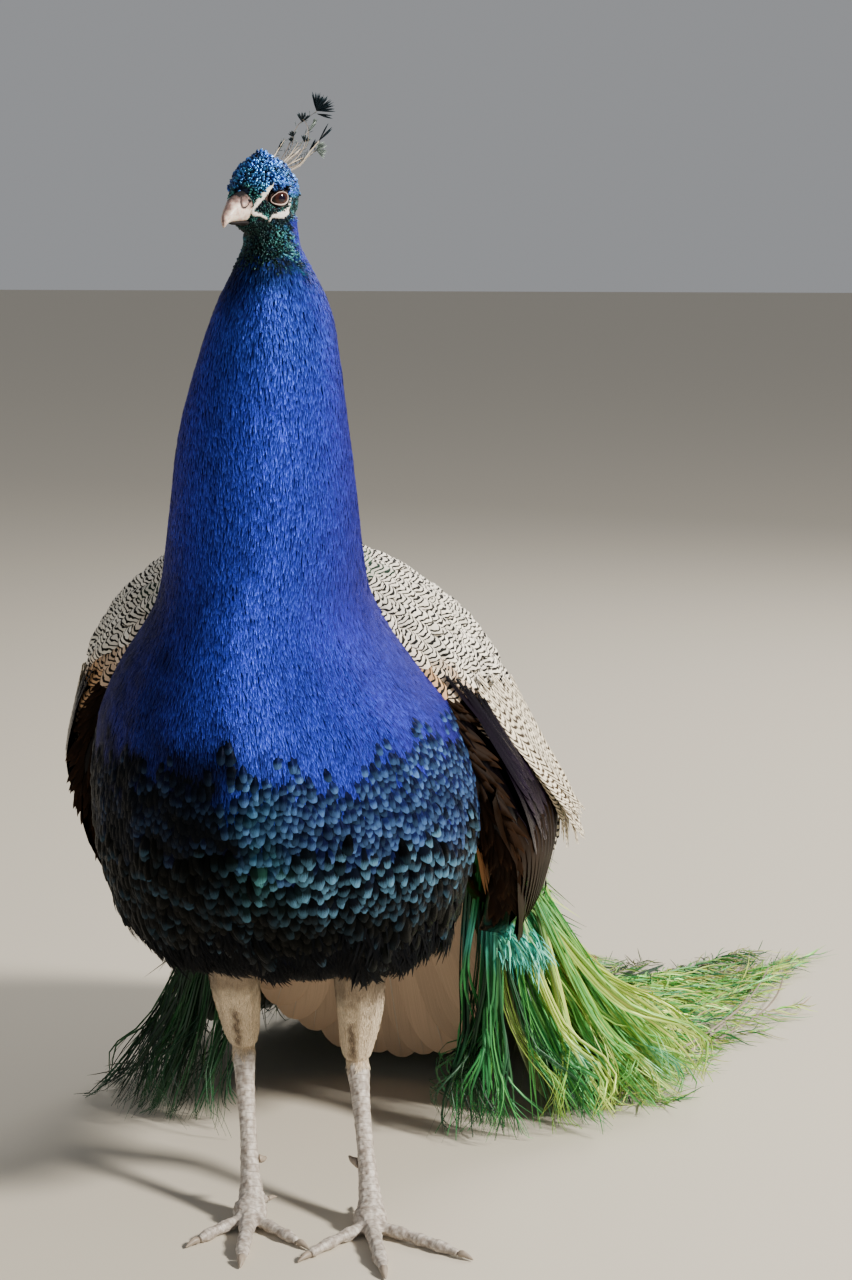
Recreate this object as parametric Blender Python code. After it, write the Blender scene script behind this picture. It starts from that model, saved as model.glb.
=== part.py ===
"""A life-size adult peacock that stands still, its head turned a little to its right.

Metres, +Z up. The bird faces -Y and its left side is at +X. Every shape is made
round a point on the floor between the feet. Then the whole is moved, so that the
origin is the middle of its box on the floor.
"""

import math

import bmesh
import bpy
import numpy as np
from mathutils import Matrix, Vector

GAP = 0.0003
BODY_SIDES = 20
HEAD_SIDES = 13
BILL_SIDES = 10
LEG_SIDES = 9

# The body as level slices, low to high: height, front, back, widest place, half width, middle
SLICES = [
    (0.216, -0.030, 0.050, 0.005, 0.050, -0.008),
    (0.228, -0.076, 0.096, 0.005, 0.112, -0.012),
    (0.245, -0.104, 0.134, 0.005, 0.136, -0.018),
    (0.270, -0.124, 0.172, 0.005, 0.150, -0.021),
    (0.300, -0.146, 0.212, 0.005, 0.157, -0.022),
    (0.340, -0.166, 0.262, 0.010, 0.166, -0.022),
    (0.380, -0.175, 0.288, 0.015, 0.164, -0.026),
    (0.420, -0.173, 0.284, 0.020, 0.155, -0.031),
    (0.450, -0.168, 0.264, 0.020, 0.145, -0.035),
    (0.480, -0.161, 0.236, 0.015, 0.1235, -0.0405),
    (0.505, -0.154, 0.202, 0.005, 0.1065, -0.040),
    (0.530, -0.147, 0.160, -0.010, 0.088, -0.038),
    (0.555, -0.141, 0.108, -0.025, 0.082, -0.033),
    (0.585, -0.136, 0.062, -0.040, 0.078, -0.030),
    (0.620, -0.132, 0.028, -0.052, 0.0735, -0.027),
    (0.660, -0.130, 0.006, -0.062, 0.068, -0.025),
    (0.700, -0.128, -0.011, -0.070, 0.0625, -0.022),
    (0.740, -0.124, -0.024, -0.075, 0.0545, -0.017),
    (0.775, -0.118, -0.034, -0.078, 0.047, -0.0135),
    (0.800, -0.110, -0.042, -0.078, 0.037, -0.013),
    (0.822, -0.103, -0.049, -0.077, 0.0245, -0.0135),
    (0.848, -0.100, -0.052, -0.076, 0.022, -0.015),
]
BODY_BOTTOM = SLICES[0][0]
NECK_FOOT = 0.560
NECK_MIDDLE = 0.690
NECK_TOP = SLICES[-1][0]
BREAST_PLANE = (Vector((0, -0.010, 0.40)), Vector((0, -1, 0.28)).normalized())
BELLY_PLANE = (Vector((0, 0, 0.318)), Vector((0, 0.12, -1)).normalized())
RUMP_PLANE = (Vector((0, 0.165, 0.40)), Vector((0, 1, -0.22)).normalized())

# The head along its own length, nape to bill: forward, half width, top, bottom
HEAD_CENTRE = Vector((-0.0200, -0.0835, 0.8590))
HEAD_YAW = math.radians(20)
HEAD_PITCH = math.radians(6)
HEAD_SECTIONS = [
    (-0.0375, 0.0060, 0.0060, -0.0080),
    (-0.0335, 0.0130, 0.0150, -0.0150),
    (-0.0250, 0.0195, 0.0265, -0.0215),
    (-0.0120, 0.0230, 0.0340, -0.0255),
    (0.0000, 0.0240, 0.0355, -0.0265),
    (0.0100, 0.0228, 0.0330, -0.0265),
    (0.0185, 0.0198, 0.0272, -0.0255),
    (0.0255, 0.0152, 0.0195, -0.0230),
    (0.0310, 0.0105, 0.0115, -0.0185),
]
UPPER_BILL = [
    (0.0180, 0.0100, 0.0115, -0.0085),
    (0.0290, 0.0092, 0.0105, -0.0083),
    (0.0380, 0.0076, 0.0085, -0.0080),
    (0.0470, 0.0056, 0.0040, -0.0085),
    (0.0540, 0.0036, -0.0025, -0.0100),
    (0.0575, 0.0016, -0.0085, -0.0125),
]
LOWER_BILL = [
    (0.0160, 0.0090, -0.0088, -0.0178),
    (0.0280, 0.0080, -0.0086, -0.0166),
    (0.0380, 0.0062, -0.0084, -0.0150),
    (0.0460, 0.0038, -0.0090, -0.0132),
    (0.0500, 0.0020, -0.0098, -0.0118),
]
EYE_RADIUS = 0.0085
EYE_PLACE = Vector((0.0075, 0.0182, 0.0040))

CREST_ROOT = (Vector((-0.0100, 0.0, 0.0335)), Vector((-0.0260, 0.0, 0.0240)))
CREST_LEANS = (math.radians(34), math.radians(73))
CREST_LENGTHS = (0.024, 0.042, 0.056, 0.051, 0.047, 0.049, 0.042)
CREST_SIDEWAYS = 0.30
CREST_FANS = (2, 3, 5, 6)
RIDGE_WIDTHS = (0.0020, 0.0052, 0.0060, 0.0052, 0.0020)
SHAFT_RADIUS = 0.0006
FAN_SIZE = (0.0062, 0.0014, 0.0070)

# A folded wing as level slices, high to low: height, front, rear, outer and inner reach
WING_SLICES = [
    (0.580, 0.056, 0.082, 0.044, 0.020),
    (0.562, 0.042, 0.128, 0.086, 0.008),
    (0.540, 0.036, 0.172, 0.118, 0.008),
    (0.510, 0.032, 0.220, 0.150, 0.028),
    (0.480, 0.030, 0.252, 0.170, 0.058),
    (0.450, 0.030, 0.270, 0.181, 0.088),
    (0.420, 0.030, 0.282, 0.190, 0.114),
    (0.380, 0.034, 0.292, 0.203, 0.136),
    (0.340, 0.045, 0.298, 0.207, 0.152),
    (0.300, 0.068, 0.298, 0.200, 0.160),
    (0.265, 0.105, 0.292, 0.190, 0.161),
    (0.235, 0.142, 0.276, 0.181, 0.158),
    (0.210, 0.172, 0.252, 0.171, 0.153),
    (0.197, 0.196, 0.224, 0.163, 0.151),
]
WING_SIDES = 12
SCAPULAR_PLANE = (Vector((0, 0.030, 0.470)), Vector((0, 0.60, 0.68)).normalized())
COVERT_PLANE = (Vector((0, 0.100, 0.345)), Vector((0, 0.60, -0.80)).normalized())
PRIMARY_SLICES = [
    (0.345, 0.075, 0.150, 0.147, 0.138),
    (0.300, 0.095, 0.190, 0.152, 0.142),
    (0.255, 0.130, 0.225, 0.152, 0.142),
    (0.225, 0.165, 0.228, 0.149, 0.142),
]

# Each leg from the belly to the hock, and on to the foot: x, y, height, half width, half depth
THIGHS = {
    "left": [
        (0.044, -0.006, 0.285, 0.028, 0.040),
        (0.040, 0.004, 0.245, 0.0255, 0.033),
        (0.037, 0.015, 0.215, 0.0230, 0.0265),
        (0.036, 0.026, 0.186, 0.0222, 0.0220),
        (0.034, 0.035, 0.162, 0.0198, 0.0190),
        (0.031, 0.041, 0.142, 0.0172, 0.0170),
        (0.030, 0.044, 0.1265, 0.0130, 0.0138),
    ],
    "right": [
        (-0.072, -0.010, 0.285, 0.028, 0.040),
        (-0.073, 0.000, 0.248, 0.0250, 0.033),
        (-0.073, 0.012, 0.218, 0.0225, 0.0265),
        (-0.073, 0.024, 0.192, 0.0228, 0.0222),
        (-0.073, 0.034, 0.170, 0.0204, 0.0194),
        (-0.072, 0.040, 0.150, 0.0178, 0.0172),
        (-0.071, 0.043, 0.1350, 0.0134, 0.0140),
    ],
}
HOCKS = {"left": (0.030, 0.045, 0.1220), "right": (-0.071, 0.044, 0.1305)}
ANKLES = {"left": (0.054, -0.028, 0.0150), "right": (-0.050, -0.026, 0.0150)}
# Along a shank from hock to ankle: share of the way, half width, half depth
SHANK_SECTIONS = [
    (-0.03, 0.0106, 0.0112),
    (0.08, 0.0110, 0.0116),
    (0.20, 0.0094, 0.0098),
    (0.40, 0.0083, 0.0088),
    (0.62, 0.0082, 0.0090),
    (0.80, 0.0092, 0.0102),
    (0.93, 0.0112, 0.0127),
    (1.00, 0.0125, 0.0140),
]
# Where each claw ends on the floor: inner, middle, outer and hind toe
CLAW_TIPS = {
    "left": {
        "inner": (0.006, -0.112),
        "middle": (0.083, -0.135),
        "outer": (0.149, -0.088),
        "hind": (0.037, 0.012),
    },
    "right": {
        "inner": (0.0115, -0.0860),
        "middle": (-0.038, -0.130),
        "outer": (-0.092, -0.096),
        "hind": (-0.036, 0.013),
    },
}
TOE_RADIUS = {"inner": 0.0064, "middle": 0.0078, "outer": 0.0066, "hind": 0.0048}
CLAW_LENGTH = 0.015
SPUR_LENGTH = {"left": 0.019, "right": 0.014}
SPUR_RADIUS = 0.0052

# The fan of tail quills under the train
TAIL_ROOT = Vector((-0.008, 0.250, 0.395))
TAIL_SPREAD = (math.radians(-27), math.radians(31))
TAIL_LEAN = math.radians(6)
TAIL_LENGTH = 0.380
TAIL_SLOPE = 0.27
TAIL_THICKNESS = 0.004
TAIL_QUILLS = 9

# The train as run lines from the bird's right to its left, each from the rump down
# to the floor and out to the tips: points of the upper side
TRAIN_RUNS = [
    [(-0.100, 0.170, 0.330), (-0.126, 0.208, 0.235), (-0.168, 0.234, 0.125),
     (-0.216, 0.250, 0.036), (-0.252, 0.266, 0.012), (-0.284, 0.282, 0.009)],
    [(-0.090, 0.236, 0.400), (-0.140, 0.316, 0.285), (-0.170, 0.372, 0.155),
     (-0.186, 0.424, 0.046), (-0.192, 0.494, 0.013), (-0.178, 0.560, 0.009)],
    [(-0.010, 0.296, 0.440), (-0.013, 0.402, 0.335), (-0.006, 0.482, 0.195),
     (0.010, 0.545, 0.062), (0.042, 0.675, 0.015), (0.082, 0.800, 0.009)],
    [(0.036, 0.284, 0.434), (0.062, 0.388, 0.325), (0.088, 0.466, 0.185),
     (0.118, 0.532, 0.058), (0.192, 0.702, 0.015), (0.270, 0.868, 0.009)],
    [(0.072, 0.258, 0.415), (0.112, 0.345, 0.305), (0.152, 0.418, 0.170),
     (0.202, 0.472, 0.054), (0.322, 0.632, 0.015), (0.448, 0.800, 0.009)],
    [(0.088, 0.216, 0.380), (0.130, 0.272, 0.270), (0.172, 0.304, 0.150),
     (0.222, 0.332, 0.044), (0.284, 0.346, 0.013), (0.338, 0.352, 0.009)],
    [(0.082, 0.176, 0.325), (0.102, 0.198, 0.232), (0.136, 0.206, 0.130),
     (0.168, 0.214, 0.036), (0.190, 0.230, 0.012), (0.208, 0.242, 0.009)],
]
TRAIN_PARTS = {"right": (0, 1), "middle": (1, 3), "left": (3, 5), "side": (5, 6)}
TRAIN_THICKNESS = 0.014
TRAIN_FLOOR_SHARE = 0.62

FEATHER_BLUE = (0.010, 0.035, 0.300)
FEATHER_GREEN = (0.010, 0.110, 0.060)
FEATHER_BLACK = (0.012, 0.014, 0.018)
FEATHER_BARRED = (0.420, 0.380, 0.300)
FEATHER_BROWN = (0.035, 0.022, 0.016)
FEATHER_CHESTNUT = (0.480, 0.220, 0.090)
FEATHER_GREY = (0.300, 0.255, 0.210)
DOWN_BUFF = (0.640, 0.520, 0.380)
LEG_SKIN = (0.330, 0.270, 0.215)
HORN = (0.560, 0.450, 0.380)
EYE_BROWN = (0.040, 0.016, 0.008)


def clear_scene():
    for thing in list(bpy.data.objects):
        bpy.data.objects.remove(thing, do_unlink=True)


def collection(name):
    made = bpy.data.collections.new(name)
    bpy.context.scene.collection.children.link(made)
    return made


def material(name, colour, roughness, metallic=0.0):
    made = bpy.data.materials.get(name)
    if made is None:
        made = bpy.data.materials.new(name)
        made.use_nodes = True
        shader = made.node_tree.nodes["Principled BSDF"]
        shader.inputs["Base Color"].default_value = (*colour, 1)
        shader.inputs["Roughness"].default_value = roughness
        shader.inputs["Metallic"].default_value = metallic
    return made


def smooth_rows(rows, count):
    """The rows made into count rows, on a curve that runs through all of them."""
    rows = np.array(rows, float)
    padded = np.vstack([2 * rows[0] - rows[1], rows, 2 * rows[-1] - rows[-2]])
    made = []
    for place in np.linspace(0, len(rows) - 1, count):
        step = min(int(place), len(rows) - 2)
        share = place - step
        a, b, c, d = padded[step : step + 4]
        bend = (2 * a - 5 * b + 4 * c - d) * share**2 + (3 * b - a - 3 * c + d) * share**3
        made.append(b + 0.5 * ((c - a) * share + bend))
    return np.array(made)


def part_object(name, bm, look):
    """A named object from the mesh, in triangles that face out, in the bird's collection."""
    bmesh.ops.triangulate(bm, faces=bm.faces)
    bmesh.ops.recalc_face_normals(bm, faces=bm.faces)
    mesh = bpy.data.meshes.new(name)
    bm.to_mesh(mesh)
    bm.free()
    mesh.materials.append(look)
    mesh.shade_smooth()
    made = bpy.data.objects.new(name, mesh)
    PEACOCK.objects.link(made)
    return made


def loft(name, rings, look):
    """A closed skin over rings of points, capped flat at both ends."""
    bm = bmesh.new()
    rows = [[bm.verts.new(point) for point in ring] for ring in rings]
    sides = len(rows[0])
    for low, high in zip(rows, rows[1:]):
        for k in range(sides):
            bm.faces.new((low[k], low[(k + 1) % sides], high[(k + 1) % sides], high[k]))
    bm.faces.new(rows[0])
    bm.faces.new(rows[-1])
    return part_object(name, bm, look)


def as_cutter(thing, grow=GAP):
    """A hidden copy of the object, larger by grow all round."""
    bm = bmesh.new()
    bm.from_mesh(thing.data)
    bm.normal_update()
    for vert in bm.verts:
        vert.co += vert.normal * grow * 1.25
    cutter = part_object(thing.name + "_cutter", bm, thing.data.materials[0])
    PEACOCK.objects.unlink(cutter)
    CUTTERS.objects.link(cutter)
    cutter.hide_render = True
    cutter.display_type = "WIRE"
    return cutter


def combine(thing, other, operation):
    """Applies a Boolean of the other object to this one."""
    modifier = thing.modifiers.new(operation, "BOOLEAN")
    modifier.operation = operation
    modifier.object = other
    graph = bpy.context.evaluated_depsgraph_get()
    mesh = bpy.data.meshes.new_from_object(thing.evaluated_get(graph))
    thing.modifiers.remove(modifier)
    thing.data = mesh


def joined(things, name):
    """One object from shapes that reach into each other."""
    first = things[0]
    for other in things[1:]:
        combine(first, other, "UNION")
        bpy.data.objects.remove(other, do_unlink=True)
    first.name = name
    return first


def split(thing, plane, beyond, behind):
    """Parts the object at a plane, with a thin gap: beyond is the side the plane's normal points to."""
    place, normal = plane
    made = []
    for name, side in ((beyond, 1), (behind, -1)):
        bm = bmesh.new()
        bm.from_mesh(thing.data)
        cut = bmesh.ops.bisect_plane(
            bm,
            geom=bm.verts[:] + bm.edges[:] + bm.faces[:],
            dist=1e-7,
            plane_co=place + normal * side * GAP / 2,
            plane_no=normal,
            clear_inner=side > 0,
            clear_outer=side < 0,
        )
        edges = [item for item in cut["geom_cut"] if isinstance(item, bmesh.types.BMEdge)]
        bmesh.ops.edgeloop_fill(bm, edges=edges)
        made.append(part_object(name, bm, thing.data.materials[0]))
    bpy.data.objects.remove(thing, do_unlink=True)
    return made


def cut_at_floor(thing, name):
    """The object with all below the floor taken away, which leaves flats to stand on."""
    bm = bmesh.new()
    bm.from_mesh(thing.data)
    every = bm.verts[:] + bm.edges[:] + bm.faces[:]
    up = Vector((0, 0, 1))
    cut = bmesh.ops.bisect_plane(
        bm, geom=every, dist=1e-7, plane_co=Vector(), plane_no=up, clear_inner=True
    )
    edges = [item for item in cut["geom_cut"] if isinstance(item, bmesh.types.BMEdge)]
    bmesh.ops.edgeloop_fill(bm, edges=edges)
    made = part_object(name, bm, thing.data.materials[0])
    bpy.data.objects.remove(thing, do_unlink=True)
    return made


def finish(thing, name, look):
    thing.name = name
    thing.data.name = name
    thing.data.materials.clear()
    thing.data.materials.append(look)
    thing.data.shade_smooth()
    return thing


def body_slice(height):
    """The ring of the body at a height: a long oval, deeper before or behind its widest place."""
    columns = BODY_ROWS.T
    front, back, widest, half, middle = (
        float(np.interp(height, columns[0], column)) for column in columns[1:]
    )
    ring = []
    for k in range(BODY_SIDES):
        angle = math.tau * k / BODY_SIDES
        reach = back - widest if math.sin(angle) > 0 else widest - front
        ring.append((middle + half * math.cos(angle), widest + reach * math.sin(angle), height))
    return ring


def body_stack(name, low, high, look):
    inner = [row[0] for row in BODY_ROWS if low + 0.0005 < row[0] < high - 0.0005]
    return loft(name, [body_slice(height) for height in (low, *inner, high)], look)


def head_matrix():
    """Takes the head's own axes (forward, its left, up) to their place on the bird."""
    forward = Vector((-math.sin(HEAD_YAW), -math.cos(HEAD_YAW), 0))
    left = Vector((math.cos(HEAD_YAW), -math.sin(HEAD_YAW), 0))
    tipped = forward * math.cos(HEAD_PITCH) - Vector((0, 0, math.sin(HEAD_PITCH)))
    up = tipped.cross(left)
    turn = Matrix((tipped, left, up)).transposed().to_4x4()
    return Matrix.Translation(HEAD_CENTRE) @ turn


def head_loft(name, sections, count, sides, look):
    """A loft along the head's forward axis, each section an oval between its top and bottom."""
    rings = []
    for forward, half, top, bottom in smooth_rows(sections, count):
        middle, reach = (top + bottom) / 2, (top - bottom) / 2
        ring = []
        for k in range(sides):
            angle = math.tau * k / sides
            spot = Vector((forward, half * math.cos(angle), middle + reach * math.sin(angle)))
            ring.append(HEAD @ spot)
        rings.append(ring)
    return loft(name, rings, look)


def ball(name, centre, radius, look, sides=10):
    bm = bmesh.new()
    bmesh.ops.create_uvsphere(bm, u_segments=sides, v_segments=sides // 2 + 1, radius=radius)
    bmesh.ops.translate(bm, verts=bm.verts, vec=centre)
    return part_object(name, bm, look)


def path_loft(name, path, widths, depths, sides, look, floor=None):
    """A tapered limb along a path. Its underside is held above the floor height given."""
    path = [Vector(point) for point in path]
    rings = []
    for i, (point, width, depth) in enumerate(zip(path, widths, depths)):
        along = (path[min(i + 1, len(path) - 1)] - path[max(i - 1, 0)]).normalized()
        across = along.cross(Vector((0, 0, 1)))
        if across.length < 0.35:
            across = along.cross(Vector((0, 1, 0)))
        across.normalize()
        over = across.cross(along).normalized()
        ring = []
        for k in range(sides):
            angle = math.tau * k / sides
            spot = point + across * width * math.cos(angle) + over * depth * math.sin(angle)
            if floor is not None:
                spot.z = max(spot.z, floor)
            ring.append(spot)
        rings.append(ring)
    return loft(name, rings, look)


def make_body():
    """Neck in two lengths, then breast, belly, back and rump from one stack of slices."""
    blue = material("blue_feather", FEATHER_BLUE, 0.45, 0.4)
    black = material("black_feather", FEATHER_BLACK, 0.6)
    green = material("green_feather", FEATHER_GREEN, 0.45, 0.4)
    half_gap = GAP / 2
    whole = body_stack("whole", BODY_BOTTOM, NECK_TOP, blue)
    cutter = as_cutter(whole)
    bpy.data.objects.remove(whole, do_unlink=True)
    upper = body_stack("neck_upper", NECK_MIDDLE + half_gap, NECK_TOP, blue)
    body_stack("neck_lower", NECK_FOOT + half_gap, NECK_MIDDLE - half_gap, blue)
    trunk = body_stack("trunk", BODY_BOTTOM, NECK_FOOT - half_gap, blue)
    front, rear = split(trunk, BREAST_PLANE, "front", "rear")
    belly, breast = split(front, BELLY_PLANE, "belly", "breast")
    rump, back = split(rear, RUMP_PLANE, "rump", "back")
    finish(breast, "breast", blue)
    finish(belly, "belly", black)
    finish(back, "back", green)
    finish(rump, "rump", green)
    return upper, cutter


def make_head(upper_neck):
    """Head with both eyes set into it, the bill's two halves, and the neck's top cut to it."""
    blue = material("blue_feather", FEATHER_BLUE, 0.45, 0.4)
    horn = material("bill_horn", HORN, 0.35)
    head = head_loft("head", HEAD_SECTIONS, 10, HEAD_SIDES, blue)
    head_cutter = as_cutter(head)
    combine(upper_neck, head_cutter, "DIFFERENCE")
    upper = head_loft("bill_upper", UPPER_BILL, 8, BILL_SIDES, horn)
    lower = head_loft("bill_lower", LOWER_BILL, 6, BILL_SIDES, horn)
    for bill in (upper, lower):
        combine(bill, head_cutter, "DIFFERENCE")
    combine(lower, as_cutter(upper), "DIFFERENCE")
    for side, sign in (("left", 1), ("right", -1)):
        spot = Vector((EYE_PLACE.x, EYE_PLACE.y * sign, EYE_PLACE.z))
        brown = material("eye", EYE_BROWN, 0.05)
        eye = ball("eye_" + side, HEAD @ spot, EYE_RADIUS, brown)
        combine(head, as_cutter(eye), "DIFFERENCE")
    make_crest(head_cutter, blue)


def make_crest(head_cutter, look):
    """A low ridge of feather on the hind crown, with bare shafts fanned out of it."""
    front, rear = CREST_ROOT
    first, last = CREST_LEANS
    spine = [HEAD @ front.lerp(rear, share) for share in (-0.35, -0.05, 0.5, 1.05, 1.35)]
    shapes = [path_loft("ridge", spine, RIDGE_WIDTHS, RIDGE_WIDTHS, 8, look)]
    for k, length in enumerate(CREST_LENGTHS):
        share = k / (len(CREST_LENGTHS) - 1)
        tilt = first + (last - first) * share
        side = CREST_SIDEWAYS + 0.08 * math.sin(2.4 * k)
        along = Vector((-math.sin(tilt), side, math.cos(tilt)))
        bow = Vector((-0.10 * length, 0, 0.06 * length))
        root = front.lerp(rear, share)
        spots = [along * length * s + bow * math.sin(math.pi * s) for s in (0.02, 0.35, 0.7, 1.0)]
        path = [HEAD @ (root + spot) for spot in spots]
        thin = [SHAFT_RADIUS * width for width in (1.3, 1.2, 1.0, 0.9)]
        shapes.append(path_loft("shaft", path, thin, thin, 4, look))
        if k in CREST_FANS:
            fan = ball("fan", Vector(), 1.0, look, 6)
            turn = (path[-1] - path[-2]).normalized().to_track_quat("Z", "Y")
            size = Matrix.Diagonal((*FAN_SIZE, 1))
            fan.data.transform(Matrix.Translation(path[-1]) @ turn.to_matrix().to_4x4() @ size)
            shapes.append(fan)
    crest = joined(shapes, "crest")
    combine(crest, head_cutter, "DIFFERENCE")
    finish(crest, "crest", look)


def lean(height):
    """How far the bird's middle stands to its right at a height."""
    return float(np.interp(height, (0.22, 0.30, 0.38, 0.50), (-0.014, -0.016, -0.037, -0.049)))


def wing_solid(name, slices, sign, count, look):
    rings = []
    for height, front, rear, outer, inner in smooth_rows(slices, count):
        middle, half = (front + rear) / 2, (rear - front) / 2
        base = inner + (outer - inner) * 0.4
        ring = []
        for k in range(WING_SIDES):
            angle = math.tau * k / WING_SIDES
            bulge = abs(math.sin(angle)) ** 0.8
            reach = outer - base if math.sin(angle) > 0 else inner - base
            x = lean(height) + sign * (base + reach * bulge)
            ring.append((x, middle + half * math.cos(angle), height))
        rings.append(ring)
    return loft(name, rings, look)


def make_wings(body_cutter):
    """Each folded wing: barred scapulars over the back, dark coverts, flight quills, buff primaries."""
    barred = material("barred_feather", FEATHER_BARRED, 0.6)
    dark = material("wing_covert", FEATHER_BLACK, 0.45)
    brown = material("flight_feather", FEATHER_BROWN, 0.5)
    chestnut = material("chestnut_feather", FEATHER_CHESTNUT, 0.55)
    for side, sign in (("left", 1), ("right", -1)):
        inner = wing_solid("primaries_" + side, PRIMARY_SLICES, sign, 4, chestnut)
        wing = wing_solid("wing_" + side, WING_SLICES, sign, 14, dark)
        combine(wing, body_cutter, "DIFFERENCE")
        combine(wing, as_cutter(inner), "DIFFERENCE")
        combine(inner, body_cutter, "DIFFERENCE")
        scapulars, lower = split(wing, SCAPULAR_PLANE, "scapulars", "lower")
        quills, coverts = split(lower, COVERT_PLANE, "quills", "coverts")
        finish(scapulars, "scapulars_" + side, barred)
        finish(quills, "flight_feathers_" + side, brown)
        finish(coverts, "wing_coverts_" + side, dark)
        finish(inner, "primaries_" + side, chestnut)


def make_leg(side, sign, body_cutter):
    """Feathered thigh, scaly shank with its spur, and a foot of four toes with claws."""
    down = material("thigh_down", DOWN_BUFF, 0.9)
    skin = material("leg_skin", LEG_SKIN, 0.6)
    horn = material("claw_horn", HORN, 0.4)
    hock, ankle = Vector(HOCKS[side]), Vector(ANKLES[side])
    shank_path = [hock.lerp(ankle, share) for share, _, _ in SHANK_SECTIONS]
    rows = smooth_rows(
        [(*spot, width, depth) for spot, (_, width, depth) in zip(shank_path, SHANK_SECTIONS)], 8
    )
    shank = path_loft("shank_" + side, rows[:, :3], rows[:, 3], rows[:, 4], LEG_SIDES, skin)

    thigh_rows = smooth_rows(THIGHS[side], 8)
    rings = []
    for x, y, height, width, depth in thigh_rows:
        turns = [math.tau * k / LEG_SIDES for k in range(LEG_SIDES)]
        rings.append([(x + width * math.cos(a), y + depth * math.sin(a), height) for a in turns])
    thigh = loft("thigh_" + side, rings, down)
    combine(thigh, body_cutter, "DIFFERENCE")
    combine(shank, as_cutter(thigh), "DIFFERENCE")

    toes = [ball("pad", Vector((ankle.x, ankle.y - 0.007, 0.0098)), 0.0156, skin)]
    claws = []
    for toe, (tip_x, tip_y) in CLAW_TIPS[side].items():
        thick = TOE_RADIUS[toe]
        lift = 0.010 if toe == "hind" else 0.0
        start = Vector((ankle.x, ankle.y - (0.010 if lift == 0 else 0.0), thick * 0.95 + lift))
        tip = Vector((tip_x, tip_y, 0.0015 + lift * 0.4))
        run = tip - start
        end = start + run * (1 - CLAW_LENGTH / run.length)
        end.z = thick * 0.58 + lift * 0.6
        arch = Vector((0, 0, 0.0012))
        shares = (0.0, 0.30, 0.52, 0.78, 1.0)
        knuckles = (1.15, 1.02, 0.90, 0.96, 0.66)
        path = [start.lerp(end, s) + arch * math.sin(math.pi * s) for s in shares]
        widths = [thick * k for k in knuckles]
        toes.append(path_loft(toe, path, widths, widths, 6, skin))
        ahead = (end - path[-3]).normalized()
        nail = [end - ahead * 0.004, end, end.lerp(tip, 0.35), end.lerp(tip, 0.7), tip]
        nail[2].z += thick * 0.22
        nail[3].z += thick * 0.12
        thin = [thick * k for k in (0.50, 0.56, 0.47, 0.31, 0.12)]
        claws.append(path_loft(f"claw_{toe}_{side}", nail, thin, thin, 5, horn, floor=0.0004))
    foot = cut_at_floor(joined(toes, "foot"), "foot_" + side)
    foot_cutter = as_cutter(foot)
    combine(shank, foot_cutter, "DIFFERENCE")
    for claw in claws:
        combine(claw, foot_cutter, "DIFFERENCE")

    root = hock.lerp(ankle, 0.72)
    along = Vector((-sign * 0.80, 0.58, 0.10 if side == "left" else -0.25)).normalized()
    spur_path = [root + along * SPUR_LENGTH[side] * share for share in (0.05, 0.4, 0.7, 1.0, 1.25)]
    spur_path[-1].z += 0.0025
    thin = [SPUR_RADIUS * k for k in (1.25, 1.0, 0.78, 0.50, 0.14)]
    spur = path_loft("spur_" + side, spur_path, thin, thin, 8, horn)
    combine(spur, as_cutter(shank), "DIFFERENCE")


def tail_point(angle, share, thick):
    """A point on the fan of tail quills: share is the way from root to tip."""
    degrees = math.degrees(angle - TAIL_LEAN)
    quill = (angle - TAIL_SPREAD[0]) / (TAIL_SPREAD[1] - TAIL_SPREAD[0]) * TAIL_QUILLS
    scallop = 0.030 * (1 - abs(math.sin(math.pi * quill))) * share
    length = (TAIL_LENGTH - 0.00011 * degrees**2 - scallop) * share
    x = math.sin(angle) * length
    sag = 1.6 * x * x
    slope = length * TAIL_SLOPE * math.cos(angle)
    return TAIL_ROOT + Vector((x, slope - sag - thick, -math.cos(angle) * length))


def make_tail(body_cutter):
    """The true tail under the train: a fan of broad quills, one closed plate with a scalloped edge."""
    grey = material("tail_feather", FEATHER_GREY, 0.7)
    first, last = TAIL_SPREAD
    steps = TAIL_QUILLS * 3
    columns = [first + (last - first) * k / steps for k in range(steps + 1)]
    shares = (0.06, 0.6, 1.0)
    bm = bmesh.new()
    sheets = [
        [[bm.verts.new(tail_point(angle, share, thick)) for angle in columns] for share in shares]
        for thick in (0.0, TAIL_THICKNESS)
    ]
    close_sheets(bm, sheets)
    tail = part_object("tail", bm, grey)
    combine(tail, body_cutter, "DIFFERENCE")
    return tail


def close_sheets(bm, sheets):
    """Faces over two like grids of points and round their rim."""
    top, under = sheets
    for grid in sheets:
        for low, high in zip(grid, grid[1:]):
            for k in range(len(low) - 1):
                bm.faces.new((low[k], low[k + 1], high[k + 1], high[k]))
    rim_top = top[0] + [row[-1] for row in top[1:]] + top[-1][-2::-1] + [r[0] for r in top[-2:0:-1]]
    rim_under = (
        under[0] + [row[-1] for row in under[1:]] + under[-1][-2::-1] + [r[0] for r in under[-2:0:-1]]
    )
    count = len(rim_top)
    for k in range(count):
        ahead = (k + 1) % count
        bm.faces.new((rim_top[k], rim_top[ahead], rim_under[ahead], rim_under[k]))


def train_grid():
    """The train's upper side, smooth both ways: rows across the bird, columns from rump to tip."""
    steps_along, steps_between = 12, 3
    runs = np.array([smooth_rows(run, steps_along) for run in TRAIN_RUNS])
    flat = runs.reshape(len(TRAIN_RUNS), -1)
    across = smooth_rows(flat, (len(TRAIN_RUNS) - 1) * steps_between + 1)
    return across.reshape(-1, steps_along, 3), steps_between


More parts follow.
